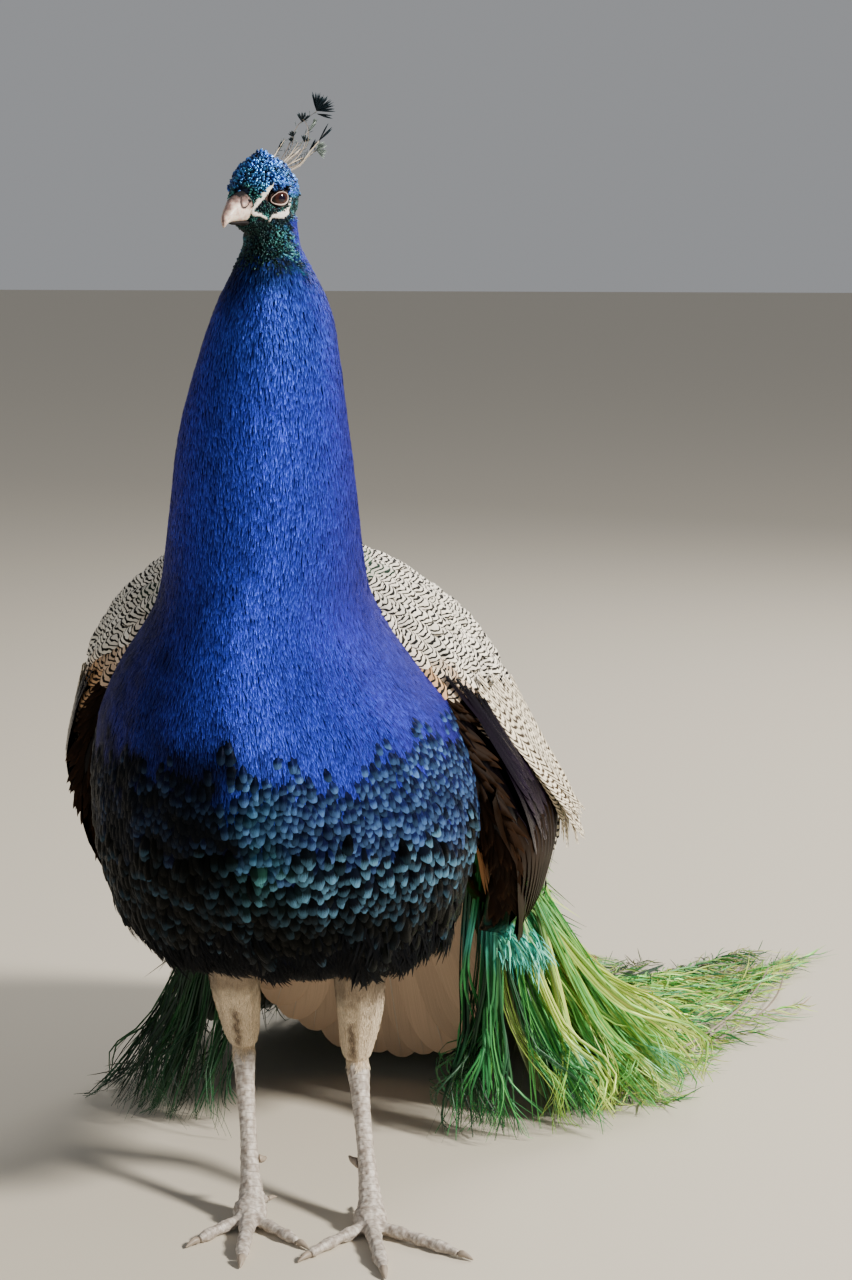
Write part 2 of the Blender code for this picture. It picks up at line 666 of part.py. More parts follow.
def make_train(body_cutter, tail_cutter):
    """The long train: four strips side by side, each parted where it meets the floor."""
    green = material("train_feather", FEATHER_GREEN, 0.5, 0.3)
    grid, step = train_grid()
    along = grid.shape[1]
    fold = round(TRAIN_FLOOR_SHARE * (along - 1))
    tangent_across = np.gradient(grid, axis=0)
    tangent_along = np.gradient(grid, axis=1)
    normal = np.cross(tangent_across, tangent_along)
    normal /= np.linalg.norm(normal, axis=2)[:, :, None]
    normal *= np.where(normal[:, :, 2:] < 0, -1, 1)
    under = grid - normal * TRAIN_THICKNESS
    under[:, :, 2] = np.maximum(under[:, :, 2], 0)
    for name, (first, last) in TRAIN_PARTS.items():
        for length, start, end in (("drape", 0, fold), ("tips", fold, along - 1)):
            bm = bmesh.new()
            sheets = []
            for points in (grid, under):
                rows = points[first * step : last * step + 1, start : end + 1].copy()
                rows[0] += (rows[1] - rows[0]) * 0.02
                rows[-1] += (rows[-2] - rows[-1]) * 0.02
                if start:
                    rows[:, 0] += (rows[:, 1] - rows[:, 0]) * 0.02
                sheets.append([[bm.verts.new(spot) for spot in row] for row in rows])
            close_sheets(bm, sheets)
            strip = part_object(f"train_{name}_{length}", bm, green)
            if length == "drape":
                combine(strip, body_cutter, "DIFFERENCE")
                combine(strip, tail_cutter, "DIFFERENCE")


def move_to_origin():
    """Puts the origin at the middle of the whole bird's box, on the floor."""
    points = [vert.co for thing in PEACOCK.objects for vert in thing.data.vertices]
    low = Vector([min(point[k] for point in points) for k in range(3)])
    high = Vector([max(point[k] for point in points) for k in range(3)])
    shift = Vector((-(low.x + high.x) / 2, -(low.y + high.y) / 2, -low.z))
    stand = bpy.data.objects.new("bird_on_floor", None)
    stand.location = shift
    PEACOCK.objects.link(stand)
    for thing in list(PEACOCK.objects) + list(CUTTERS.objects):
        if thing is not stand:
            thing.parent = stand


clear_scene()
PEACOCK = collection("peacock")
CUTTERS = collection("cutters")
BODY_ROWS = smooth_rows(SLICES, len(SLICES) + 3)
HEAD = head_matrix()
neck, trunk_cutter = make_body()
make_head(neck)
make_wings(trunk_cutter)
make_leg("left", 1, trunk_cutter)
make_leg("right", -1, trunk_cutter)
tail_fan = make_tail(trunk_cutter)
make_train(trunk_cutter, as_cutter(tail_fan))
move_to_origin()
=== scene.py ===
"""A life-size peacock, standing still: its skin, its coat of feathers, bill, eyes, legs, tail and train.

Metres, +Z up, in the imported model's frame: the breast faces -Y and the bird's left is at +X.
"""

import math

import bmesh
import bpy
import numpy as np
from mathutils import Matrix, Vector
from mathutils.bvhtree import BVHTree


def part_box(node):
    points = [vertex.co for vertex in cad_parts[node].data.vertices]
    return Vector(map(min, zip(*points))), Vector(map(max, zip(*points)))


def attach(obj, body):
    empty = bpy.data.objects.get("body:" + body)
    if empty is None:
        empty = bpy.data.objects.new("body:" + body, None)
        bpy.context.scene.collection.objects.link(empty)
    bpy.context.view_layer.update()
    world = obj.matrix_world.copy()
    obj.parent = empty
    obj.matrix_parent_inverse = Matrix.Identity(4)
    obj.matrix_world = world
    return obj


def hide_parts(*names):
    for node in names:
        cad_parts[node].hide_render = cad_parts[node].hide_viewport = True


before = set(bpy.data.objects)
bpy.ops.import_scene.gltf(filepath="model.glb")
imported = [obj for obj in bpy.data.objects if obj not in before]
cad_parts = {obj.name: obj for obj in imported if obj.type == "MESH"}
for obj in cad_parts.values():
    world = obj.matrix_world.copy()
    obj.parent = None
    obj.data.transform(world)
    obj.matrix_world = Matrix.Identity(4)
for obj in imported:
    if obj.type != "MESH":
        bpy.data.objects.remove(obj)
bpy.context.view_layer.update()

# Stage: a plain pale floor under soft studio light, seen from the photograph's viewpoint.
# All places are first told from the point on the floor between the feet. The left eye's
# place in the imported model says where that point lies.
EYE_IN_HEAD = Vector((0.0075, 0.0182, 0.0040))
HEAD_FROM_FEET = np.array((-0.0200, -0.0835, 0.8590))
HEAD_YAW, HEAD_PITCH = math.radians(20), math.radians(6)
CAMERA_PLACE, LIGHTS_AIM = Vector((0.37807, -2.00035, 0.84)), Vector((0, 0, 0.45))
CAMERA_TILT, CAMERA_TURN = 9.481, 8
FRAME_HEIGHT, FOCAL_LENGTH = 36, 69.72
FLOOR_REACH = 30
head_forward = Vector((-math.sin(HEAD_YAW), -math.cos(HEAD_YAW), 0))
head_left = Vector((math.cos(HEAD_YAW), -math.sin(HEAD_YAW), 0))
head_forward = head_forward * math.cos(HEAD_PITCH) - Vector((0, 0, math.sin(HEAD_PITCH)))
head_turn = Matrix((head_forward, head_left, head_forward.cross(head_left))).transposed()
low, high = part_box("eye_left")
HEAD_CENTRE = np.array((low + high) / 2 - head_turn @ EYE_IN_HEAD)
FEET = HEAD_CENTRE - HEAD_FROM_FEET
HEAD = np.array(head_turn)


def object_of(name, data):
    """A new object in the scene for a mesh, a lamp or a camera."""
    thing = bpy.data.objects.new(name, data)
    bpy.context.scene.collection.objects.link(thing)
    return thing


floor_mesh = bpy.data.meshes.new("floor")
corners = [(x * FLOOR_REACH, y * FLOOR_REACH, 0) for x, y in ((-1, -1), (1, -1), (1, 1), (-1, 1))]
floor_mesh.from_pydata(corners, [], [(0, 1, 2, 3)])
pale = bpy.data.materials.new("pale_floor")
pale.use_nodes = True
paint = pale.node_tree.nodes["Principled BSDF"].inputs
paint["Base Color"].default_value = (0.64, 0.580, 0.475, 1)
paint["Roughness"].default_value = 0.8
floor_mesh.materials.append(pale)
object_of("floor", floor_mesh)

world = bpy.data.worlds.new("studio")
world.use_nodes = True
sky = world.node_tree.nodes["Background"].inputs
sky["Color"].default_value = (0.86, 0.88, 0.92, 1)
sky["Strength"].default_value = 0.35
bpy.context.scene.world = world
for name, place, power, side, tone in (
    ("key", (3.6, -1.1, 2.8), 440, 0.6, (1.0, 0.95, 0.87)),
    ("fill", (-2.6, -2.6, 1.4), 12, 2.6, (0.88, 0.94, 1.0)),
    ("back", (1.2, 3.0, 2.6), 80, 1.6, (1.0, 0.98, 0.95)),
):
    light = bpy.data.lights.new(name, "AREA")
    light.energy, light.size, light.color = power, side, tone
    lamp = object_of(name, light)
    lamp.location = Vector(place) + Vector(FEET)
    lamp.rotation_euler = (LIGHTS_AIM - Vector(place)).to_track_quat("-Z", "Y").to_euler()

lens = bpy.data.cameras.new("camera")
lens.sensor_fit, lens.sensor_height, lens.lens = "VERTICAL", FRAME_HEIGHT, FOCAL_LENGTH
camera = object_of("camera", lens)
camera.location = CAMERA_PLACE + Vector(FEET)
camera.rotation_euler = (math.radians(90 - CAMERA_TILT), 0, math.radians(CAMERA_TURN))
bpy.context.scene.camera = camera


# Skin: one hide over neck, trunk, thighs, shanks and feet, with the head's in finer mesh.
# It lies inside the outline by the depth of the feathers that grow on it, and it carries
# the lie of the coat, the plumage's markings and painted shade as attributes.
def made_real(thing):
    """The object's mesh with its modifiers applied. The object itself goes."""
    done = bpy.data.meshes.new_from_object(thing.evaluated_get(bpy.context.evaluated_depsgraph_get()))
    bpy.data.objects.remove(thing, do_unlink=True)
    return done


def remeshed(nodes, voxel, smoothings, over=None):
    """One closed hide over these solids, its facets smoothed away, or only its part over a height."""
    bm = bmesh.new()
    for node in nodes:
        bm.from_mesh(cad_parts[node].data)
    bmesh.ops.remove_doubles(bm, verts=bm.verts, dist=1e-6)
    mesh = bpy.data.meshes.new("hide")
    bm.to_mesh(mesh)
    bm.free()
    thing = object_of("hide", mesh)
    remesh = thing.modifiers.new("remesh", "REMESH")
    remesh.mode, remesh.voxel_size = "VOXEL", voxel
    smooth = thing.modifiers.new("smooth", "SMOOTH")
    smooth.factor, smooth.iterations = 0.6, smoothings
    done = made_real(thing)
    if over is not None:
        bm = bmesh.new()
        bm.from_mesh(done)
        bmesh.ops.delete(bm, geom=[vert for vert in bm.verts if vert.co.z <= over], context="VERTS")
        bm.to_mesh(done)
        bm.free()
    return done


def numbers(mesh):
    """The mesh's points and normals as arrays."""
    points = np.empty(len(mesh.vertices) * 3, np.float32)
    mesh.vertices.foreach_get("co", points)
    normals = np.empty(len(mesh.vertices) * 3, np.float32)
    mesh.vertices.foreach_get("normal", normals)
    return points.reshape(-1, 3).astype(float), normals.reshape(-1, 3).astype(float)


def ease(low, high, value):
    """0 below low, 1 above high, and a smooth way between."""
    share = np.clip((value - low) / (high - low), 0, 1)
    return share * share * (3 - 2 * share)


def waves(points, size, seed):
    """A soft wandering value between about -1 and 1, made of a few crossed waves."""
    random = np.random.default_rng(seed)
    total = np.zeros(len(points))
    for _ in range(7):
        way = random.normal(size=3)
        way *= random.uniform(0.6, 1.5) * math.tau / size / np.linalg.norm(way)
        total += np.sin(points @ way + random.uniform(0, math.tau))
    return total / 3.2


def near(places, middle, reach):
    """1 at the middle, falling softly to nothing past the reach."""
    return np.exp(-(((places - np.array(middle)) / reach) ** 2).sum(-1))


def unit(ways):
    """The ways, each made one long."""
    return ways / np.maximum(np.linalg.norm(ways, axis=-1, keepdims=True), 1e-9)


def move_points(mesh, points):
    """Gives the mesh's points their new places."""
    mesh.vertices.foreach_set("co", points.ravel().astype(np.float32))


def put(mesh, name, values, kind="FLOAT"):
    """Stores a mark on the mesh's points."""
    made = mesh.attributes.new(name, kind, "POINT")
    made.data.foreach_set("value" if kind == "FLOAT" else "vector", np.ravel(values).astype(np.float32))


TRUNK = ("neck_upper", "neck_lower", "breast", "belly", "back", "rump")
trunk_mesh = remeshed(TRUNK, voxel=0.005, smoothings=30)
trunk, trunk_normals = numbers(trunk_mesh)
height = trunk[:, 2]
coat_heights = (0.22, 0.30, 0.42, 0.55, 0.66, 0.76, 0.80, 0.85)
coat_depths = (0.006, 0.006, 0.003, 0.0, -0.003, -0.001, 0.001, 0.003)
trunk -= trunk_normals * np.interp(height, coat_heights, coat_depths)[:, None]
move_points(trunk_mesh, trunk)

# Marks on the trunk's hide, by height and by place round the body
ahead = FEET[1] - trunk[:, 1]
sway = np.interp(height, (0.22, 0.38, 0.50, 0.66, 0.80), (0.012, 0.026, 0.041, 0.025, 0.013))
side = trunk[:, 0] - FEET[0] + sway
ragged = waves(trunk, 0.06, 3) * 0.012
speckled = waves(trunk, 0.018, 4) * 0.010
is_back = ease(0.01, 0.05, -ahead - 0.02 + ragged) * ease(0.60, 0.55, height)
upper = height + ragged + 2 * speckled - 0.20 * np.maximum(side - 0.03, 0)
is_lower = ease(0.425, 0.405, upper)
is_breast = ease(0.365, 0.415, upper)
is_scale = ease(0.362, 0.345, height + ragged + speckled)
is_belly = ease(0.292, 0.262, height + ragged * 0.6 + speckled)
is_vent = ease(-0.03, -0.07, ahead) * ease(0.30, 0.27, height)
put(trunk_mesh, "neck", ease(0.545, 0.56, height) * (1 - ease(0.775, 0.806, height + ragged)))
put(trunk_mesh, "collar", ease(0.755, 0.800, height + ragged + speckled) * ease(0.85, 0.84, height))
put(trunk_mesh, "breast", ease(0.56, 0.552, height) * is_breast * (1 - is_back))
put(trunk_mesh, "scallops", is_lower * (1 - is_scale) * (1 - is_back))
put(trunk_mesh, "scales", is_scale * (1 - is_belly) * (1 - is_back))
put(trunk_mesh, "belly", is_belly * (1 - is_vent) * (1 - is_back))
put(trunk_mesh, "vent", is_vent)
put(trunk_mesh, "mantle", ease(0.45, 0.75, is_back) * ease(0.25, 0.29, height))
lie = np.stack([0.10 * side, 0.05 + 0.25 * ease(0.6, 0.4, height) + 0.9 * is_back, -np.ones(len(trunk))], 1)
lie += np.stack([waves(trunk, 0.11, 5), waves(trunk, 0.13, 6), 0 * height], 1) * 0.08
put(trunk_mesh, "lie", lie, "FLOAT_VECTOR")
# Painted highlights: green glints on the scales in the middle of the breast, carried by the green mark.
glints = near(np.stack([side, height], 1), (0.012, 0.365), (0.026, 0.050))
glints = np.clip(glints * (0.70 + 0.5 * waves(trunk, 0.022, 8)), 0, 1)
green = 0.25 * ease(0.780, 0.815, height) + 0.12 * ease(0.70, 0.76, height) + 0.5 * glints
put(trunk_mesh, "green", np.clip(green, 0, 1))
# Painted shade: on the bird's right side, away from the key light, the lower breast goes almost black.
shade = 0.97 * ease(0.482, 0.410, height + ragged + speckled) * ease(0.030, -0.020, side + speckled)
shade = np.maximum(shade, 0.42 * ease(0.462, 0.385, height + ragged + 2 * speckled))
# The collar is darker on the bird's right half: partly its own dark colour, partly painted shade away from
# the key light.
shade = np.maximum(shade, 0.72 * ease(0.765, 0.80, height + ragged) * ease(0.034, 0.012, side + 2 * speckled))
shade = np.maximum(shade, 0.97 * ease(0.348, 0.305, height + speckled + 0.5 * ragged))
# Painted shade: the breast is darker on the bird's right side, away from the key light.
shade = np.maximum(shade, 0.60 * ease(0.0, -0.065, side) * ease(0.62, 0.54, height))
put(trunk_mesh, "dark", np.clip(shade + 0.12 * waves(trunk, 0.04, 9), 0, 1))
put(trunk_mesh, "grow", 1 + 0.5 * waves(trunk, 0.035, 12) * ease(0.32, 0.27, height))


# The legs' hides: scaly shanks and toes, with the down's tract above each hock. The scutes are
# numbered along and round every shank and toe, for the relief.
HOCKS = {"left": (0.030, 0.045, 0.1220), "right": (-0.071, 0.044, 0.1305)}
ANKLES = {"left": (0.054, -0.028, 0.0150), "right": (-0.050, -0.026, 0.0150)}
TOE_ENDS = {
    "left": ((0.006, -0.112), (0.083, -0.135), (0.149, -0.088), (0.037, 0.012)),
    "right": ((0.0115, -0.0860), (-0.038, -0.130), (-0.092, -0.096), (-0.036, 0.013)),
}
TOE_HEIGHT = 0.006
TOE_SCUTE, SHANK_SCUTE, KNUCKLE_STEP = 0.0042, 0.0064, 0.0215
LEG = ("thigh_", "shank_", "foot_")


def leg_hide(which):
    """One leg's hide with its marks, which tell its relief and its down."""
    mesh = remeshed([part + which for part in LEG], voxel=0.0013, smoothings=14)
    points, normals = numbers(mesh)
    told = points - FEET
    hock, ankle = np.array(HOCKS[which]), np.array(ANKLES[which])
    down = ease(-0.006, 0.001, told[:, 2] - hock[2] + 0.003 * waves(told, 0.012, 14))
    told -= normals * (0.0005 + 0.0006 * down)[:, None]
    axis = unit(ankle - hock)
    along = (told - hock) @ axis
    off = told - hock - along[:, None] * axis
    around = np.arctan2(off[:, 0], -off[:, 1])
    on_toe = ease(0.030, 0.022, told[:, 2])
    nearest = np.full(len(told), 9.0)
    start = ankle - (0, 0, TOE_HEIGHT)
    for x, y in TOE_ENDS[which]:
        way = unit(np.array((x, y, TOE_HEIGHT)) - start)
        reach = (told - start) @ way
        gap = told - start - reach[:, None] * way
        aside = gap @ np.cross(way, (0, 0, 1))
        distance = np.linalg.norm(gap, axis=1) + 9.0 * (reach < 0.006)
        chosen = (distance < nearest) & (on_toe > 0.5)
        nearest = np.minimum(nearest, distance)
        along = np.where(chosen, reach + 0.2, along)
        around = np.where(chosen, np.arctan2(aside, gap[:, 2] + 0.002), around)
    front = ease(-0.1, 0.5, np.cos(around))
    pitch = np.where(on_toe > 0.5, TOE_SCUTE, SHANK_SCUTE)
    half_step = 0.5 * (np.abs(around) > 0.02) * (around > 0) * (on_toe < 0.5)
    band = np.abs(np.sin(math.pi * (along / pitch + half_step)))
    knuckle = np.cos(math.tau * along / KNUCKLE_STEP) * on_toe
    rise = (np.minimum(band * 2.2, 1) - 1) * 0.00018 * front + 0.0005 * knuckle
    rise += 0.00025 * waves(told, 0.0035, 15) + 0.00022 * waves(told, 0.012, 16)
    told += normals * (rise * (1 - down))[:, None]
    told[:, 2] = np.maximum(told[:, 2], 0.0002)
    over_hock = told[:, 2] - hock[2]
    # Painted shade: a furrow down the front of each thigh is marked dark, as in the crease's shade. The down
    # also darkens towards the top of the thigh.
    inner = (told[:, 0] - hock[0] + 0.0010 + 0.0015 * waves(told, 0.01, 18)) / 0.0032
    furrow_height = ease(0.050, 0.038, over_hock) * ease(0.0, 0.012, over_hock)
    furrow_shade = np.exp(-(inner**2)) * (off[:, 1] < 0) * furrow_height
    dusky = 0.70 * ease(0.046, 0.076, over_hock + 0.006 * waves(told, 0.016, 17))
    move_points(mesh, told + FEET)
    put(mesh, "along", along / pitch)
    put(mesh, "around", around)
    put(mesh, "front", front)
    put(mesh, "down", down)
    put(mesh, "grow", 0.8 + 0.5 * ease(0.02, 0.09, over_hock))
    put(mesh, "dark", np.maximum(dusky, 0.9 * furrow_shade))
    put(mesh, "lie", np.tile((0, 0.12, -1), (len(told), 1)), "FLOAT_VECTOR")
    return mesh


leg_meshes = {which: leg_hide(which) for which in ("left", "right")}


# Vanes and plumage: a feather is a thin vane, cupped across and bowed along its shaft.
# Each kind of feather is one small mesh, and one Geometry Nodes tree strews it over a hide
# along the lie of the coat, makes it real and gives it its place on the hide's unwrap.
def vane(name, widths, columns=3, cup=0.12, bow=0.10, notch=0.0):
    """A feather one unit long and one wide, root at the origin, tip at +Y, its back to +Z."""
    rows = len(widths)
    points, faces, spots = [], [], []
    for i, width in enumerate(widths):
        along = i / (rows - 1)
        for j in range(columns):
            across = j / (columns - 1) * 2 - 1
            tip = notch * (1 - abs(across)) * along**3 - 0.10 * across**2 * along
            points.append((
                across * width / 2,
                along + tip,
                bow * math.sin(math.pi * along * 0.9) - cup * (across * width) ** 2,
            ))
            spots.append((0.5 + across * width / 2, along))
    for i in range(rows - 1):
        for j in range(columns - 1):
            a = i * columns + j
            faces.append((a, a + 1, a + 1 + columns, a + columns))
    mesh = bpy.data.meshes.new(name)
    mesh.from_pydata(points, [], faces)
    layer = mesh.uv_layers.new(name="vane")
    for loop in mesh.loops:
        layer.data[loop.index].uv = spots[loop.vertex_index]
    mesh.shade_smooth()
    thing = object_of(name, mesh)
    thing.hide_render = True
    return thing


# A turn round the bird takes this share of the map's width, and each vane a patch of this size
MAP_TURN, PATCH = 0.98, 0.003


def nodes_in(tree):
    """Two short ways to add to a tree. The first makes a node of a kind, with (socket, source or
    value) pairs and its settings; the second gives what a Math node makes of its values."""

    def node(kind, *links, **settings):
        made = tree.nodes.new(kind)
        for key, value in settings.items():
            setattr(made, key, value)
        for socket, source in links:
            if isinstance(source, bpy.types.NodeSocket):
                tree.links.new(source, made.inputs[socket])
            else:
                made.inputs[socket].default_value = source
        return made

    def maths(operation, *values, clamp=False):
        return node("ShaderNodeMath", *enumerate(values), operation=operation, use_clamp=clamp).outputs[0]

    return node, maths


def plumage_tree():
    """The tree that strews vanes over a hide."""
    tree = bpy.data.node_groups.new("plumage", "GeometryNodeTree")
    tree.interface.new_socket("Hide", in_out="INPUT", socket_type="NodeSocketGeometry")
    tree.interface.new_socket("Coat", in_out="OUTPUT", socket_type="NodeSocketGeometry")
    for name, kind in (
        ("Tract", "String"), ("Vane", "Object"), ("Spacing", "Float"), ("Length", "Float"),
        ("Width", "Float"), ("Lift", "Float"), ("Stray", "Float"), ("Unwrap Middle", "Vector"),
        ("Unwrap Height", "Float"), ("Seed", "Int"), ("Material", "Material"),
    ):
        tree.interface.new_socket(name, in_out="INPUT", socket_type="NodeSocket" + kind)
    node, maths = nodes_in(tree)
    given = node("NodeGroupInput").outputs

    def named(name, kind):
        """A mark on the mesh."""
        return node("GeometryNodeInputNamedAttribute", ("Name", name), data_type=kind).outputs[0]

    def chance(low, high, shift):
        """A random number for each feather."""
        seed = maths("ADD", given["Seed"], shift)
        made = node("FunctionNodeRandomValue", (2, low), (3, high), ("Seed", seed), data_type="FLOAT")
        return made.outputs[1]

    density = maths("DIVIDE", 3.0, maths("MULTIPLY", given["Spacing"], given["Spacing"]))
    strewn = node(
        "GeometryNodeDistributePointsOnFaces", ("Mesh", given["Hide"]),
        ("Distance Min", given["Spacing"]), ("Density Max", density),
        ("Density Factor", named(given["Tract"], "FLOAT")), ("Seed", given["Seed"]),
        distribute_method="POISSON",
    )
    place = node("ShaderNodeSeparateXYZ", (0, node("GeometryNodeInputPosition").outputs[0])).outputs
    middle = node("ShaderNodeSeparateXYZ", (0, given["Unwrap Middle"])).outputs
    turn = maths("ARCTAN2", maths("SUBTRACT", place[0], middle[0]), maths("SUBTRACT", place[1], middle[1]))
    around = maths("MULTIPLY_ADD", turn, MAP_TURN / math.tau, 0.5)
    up = maths("DIVIDE", maths("SUBTRACT", place[2], middle[2]), given["Unwrap Height"])
    spot = node("ShaderNodeCombineXYZ", (0, around), (1, up)).outputs[0]
    points = strewn.outputs["Points"]
    for name, value, kind in (("spot", spot, "FLOAT_VECTOR"), ("tint", chance(0, 1, 11), "FLOAT")):
        points = node(
            "GeometryNodeStoreNamedAttribute", ("Geometry", points), ("Name", name), ("Value", value),
            data_type=kind, domain="POINT",
        ).outputs[0]
    axes = node(
        "FunctionNodeAxesToRotation", (0, strewn.outputs["Normal"]),
        (1, named("lie", "FLOAT_VECTOR")), primary_axis="Z", secondary_axis="Y",
    )
    stray = maths("MULTIPLY", given["Stray"], chance(-1, 1, 21))
    roll = maths("MULTIPLY", given["Stray"], chance(-1, 1, 31))
    rise = maths("MULTIPLY", given["Lift"], chance(0.4, 1.6, 41))
    angles = node("ShaderNodeCombineXYZ", (0, rise), (1, roll), (2, stray)).outputs[0]
    turned = node("FunctionNodeRotateRotation", (0, axes.outputs[0]),
                  (1, node("FunctionNodeEulerToRotation", (0, angles)).outputs[0]), rotation_space="LOCAL")
    grow = named("grow", "FLOAT")
    long = maths("MULTIPLY", maths("MULTIPLY", given["Length"], chance(0.8, 1.2, 51)), grow)
    wide = maths("MULTIPLY", maths("MULTIPLY", given["Width"], chance(0.85, 1.15, 61)), grow)
    size = node("ShaderNodeCombineXYZ", (0, wide), (1, long), (2, long)).outputs[0]
    shape = node("GeometryNodeObjectInfo", ("Object", given["Vane"])).outputs["Geometry"]
    copies = node(
        "GeometryNodeInstanceOnPoints", ("Points", points), ("Instance", shape),
        ("Rotation", turned.outputs[0]), ("Scale", size),
    )
    real = node("GeometryNodeRealizeInstances", (0, copies.outputs[0])).outputs[0]
    patch = named("vane", "FLOAT_VECTOR")
    patch = node("ShaderNodeVectorMath", (0, patch), (1, (0.5, 0.5, 0)), operation="SUBTRACT")
    patch = node("ShaderNodeVectorMath", (0, patch.outputs[0]), ("Scale", PATCH), operation="SCALE")
    bake = node("ShaderNodeVectorMath", (0, named("spot", "FLOAT_VECTOR")), (1, patch.outputs[0]))
    mapped = node(
        "GeometryNodeStoreNamedAttribute", ("Geometry", real), ("Name", "OFBake"),
        ("Value", bake.outputs[0]), data_type="FLOAT2", domain="CORNER",
    )
    coated = node("GeometryNodeSetMaterial", ("Geometry", mapped.outputs[0]), ("Material", given["Material"]))
    node("NodeGroupOutput", (0, coated.outputs[0]))
    return tree


PLUMAGE = plumage_tree()
KEPT_MARKS = {"tint", "green", "dark", "bright", "position", "vane", "OFBake", "material_index", "sharp_face"}


def settle(name, mesh, slot, replaced=()):
    """A finished piece of the bird, in place of the solids that it replaces. The slot is not used."""
    made = object_of(name, mesh)
    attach(made, "root")
    if replaced:
        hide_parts(*replaced)
    return made


def strew(name, hide, tract, shape, material, spacing, length, width, lift, stray, slot, seed):
    """A piece of coat: vanes strewn over one tract of a hide, as one plain mesh."""
    thing = object_of(name, hide.data.copy())
    thing.data.materials.clear()
    modifier = thing.modifiers.new("plumage", "NODES")
    modifier.node_group = PLUMAGE
    points, _ = numbers(hide.data)
    low, high = points.min(0), points.max(0)
    middle = (float((low[0] + high[0]) / 2), float((low[1] + high[1]) / 2), float(low[2]))
    given = {
        "Tract": tract, "Vane": shape, "Spacing": spacing, "Length": length, "Width": width,
        "Lift": math.radians(lift), "Stray": math.radians(stray), "Unwrap Middle": middle,
        "Unwrap Height": float(high[2] - low[2]), "Seed": seed, "Material": material,
    }
    for item in PLUMAGE.interface.items_tree:
        if item.in_out == "INPUT" and item.name in given:
            modifier[item.identifier] = given[item.name]
    coat = made_real(thing)
    for mark in list(coat.attributes):
        if mark.name not in KEPT_MARKS and not mark.name.startswith("."):
            coat.attributes.remove(mark)
    coat.name = name
    coat.shade_smooth()
    settle(name, coat, slot)


def new_look(name, roughness, **sockets):
    """A new material, its two node makers and its shader, on which sockets are set by name."""
    made = bpy.data.materials.new(name)
    made.use_nodes = True
    shader = made.node_tree.nodes["Principled BSDF"]
    for socket, value in {"Roughness": roughness, **sockets}.items():
        shader.inputs[socket.replace("_", " ")].default_value = value
    return made, *nodes_in(made.node_tree), shader


def mark_of(node, name):
    """What a material reads of a mark on the mesh."""
    return node("ShaderNodeAttribute", attribute_name=name).outputs["Fac"]


def on_vane(node):
    """The place on a vane: across it and along it, each from 0 to 1."""
    return node("ShaderNodeSeparateXYZ", (0, node("ShaderNodeUVMap", uv_map="vane").outputs[0])).outputs


def noise_of(node, scale, detail, place=None):
    """Grain over a piece, told by its own place in metres where no other is given."""
    if place is None:
        place = node("ShaderNodeTexCoord").outputs["Object"]
    return node("ShaderNodeTexNoise", ("Vector", place), ("Scale", scale), ("Detail", detail)).outputs[0]


def blended(node, share, first, second):
    """Two colours mixed, each a socket or a tone."""
    tones = [tone if isinstance(tone, bpy.types.NodeSocket) else (*tone, 1) for tone in (first, second)]
    return node("ShaderNodeMix", (0, share), (6, tones[0]), (7, tones[1]), data_type="RGBA").outputs[2]


def ramp_of(node, source, tones):
    """A row of tones, each at its place from 0 to 1."""
    made = node("ShaderNodeValToRGB", (0, source))
    while len(made.color_ramp.elements) < len(tones):
        made.color_ramp.elements.new(0.5)
    for element, (spot, tone) in zip(made.color_ramp.elements, tones):
        element.position, element.color = spot, (*tone, 1)
    return made.outputs[0]


def finish_look(shader, node, colour, height, strength, distance):
    """The colour and the relief go into the shader."""
    relief = node("ShaderNodeBump", ("Strength", strength), ("Distance", distance), ("Height", height))
    links = shader.id_data.links
    links.new(colour, shader.inputs["Base Color"])
    links.new(relief.outputs[0], shader.inputs["Normal"])


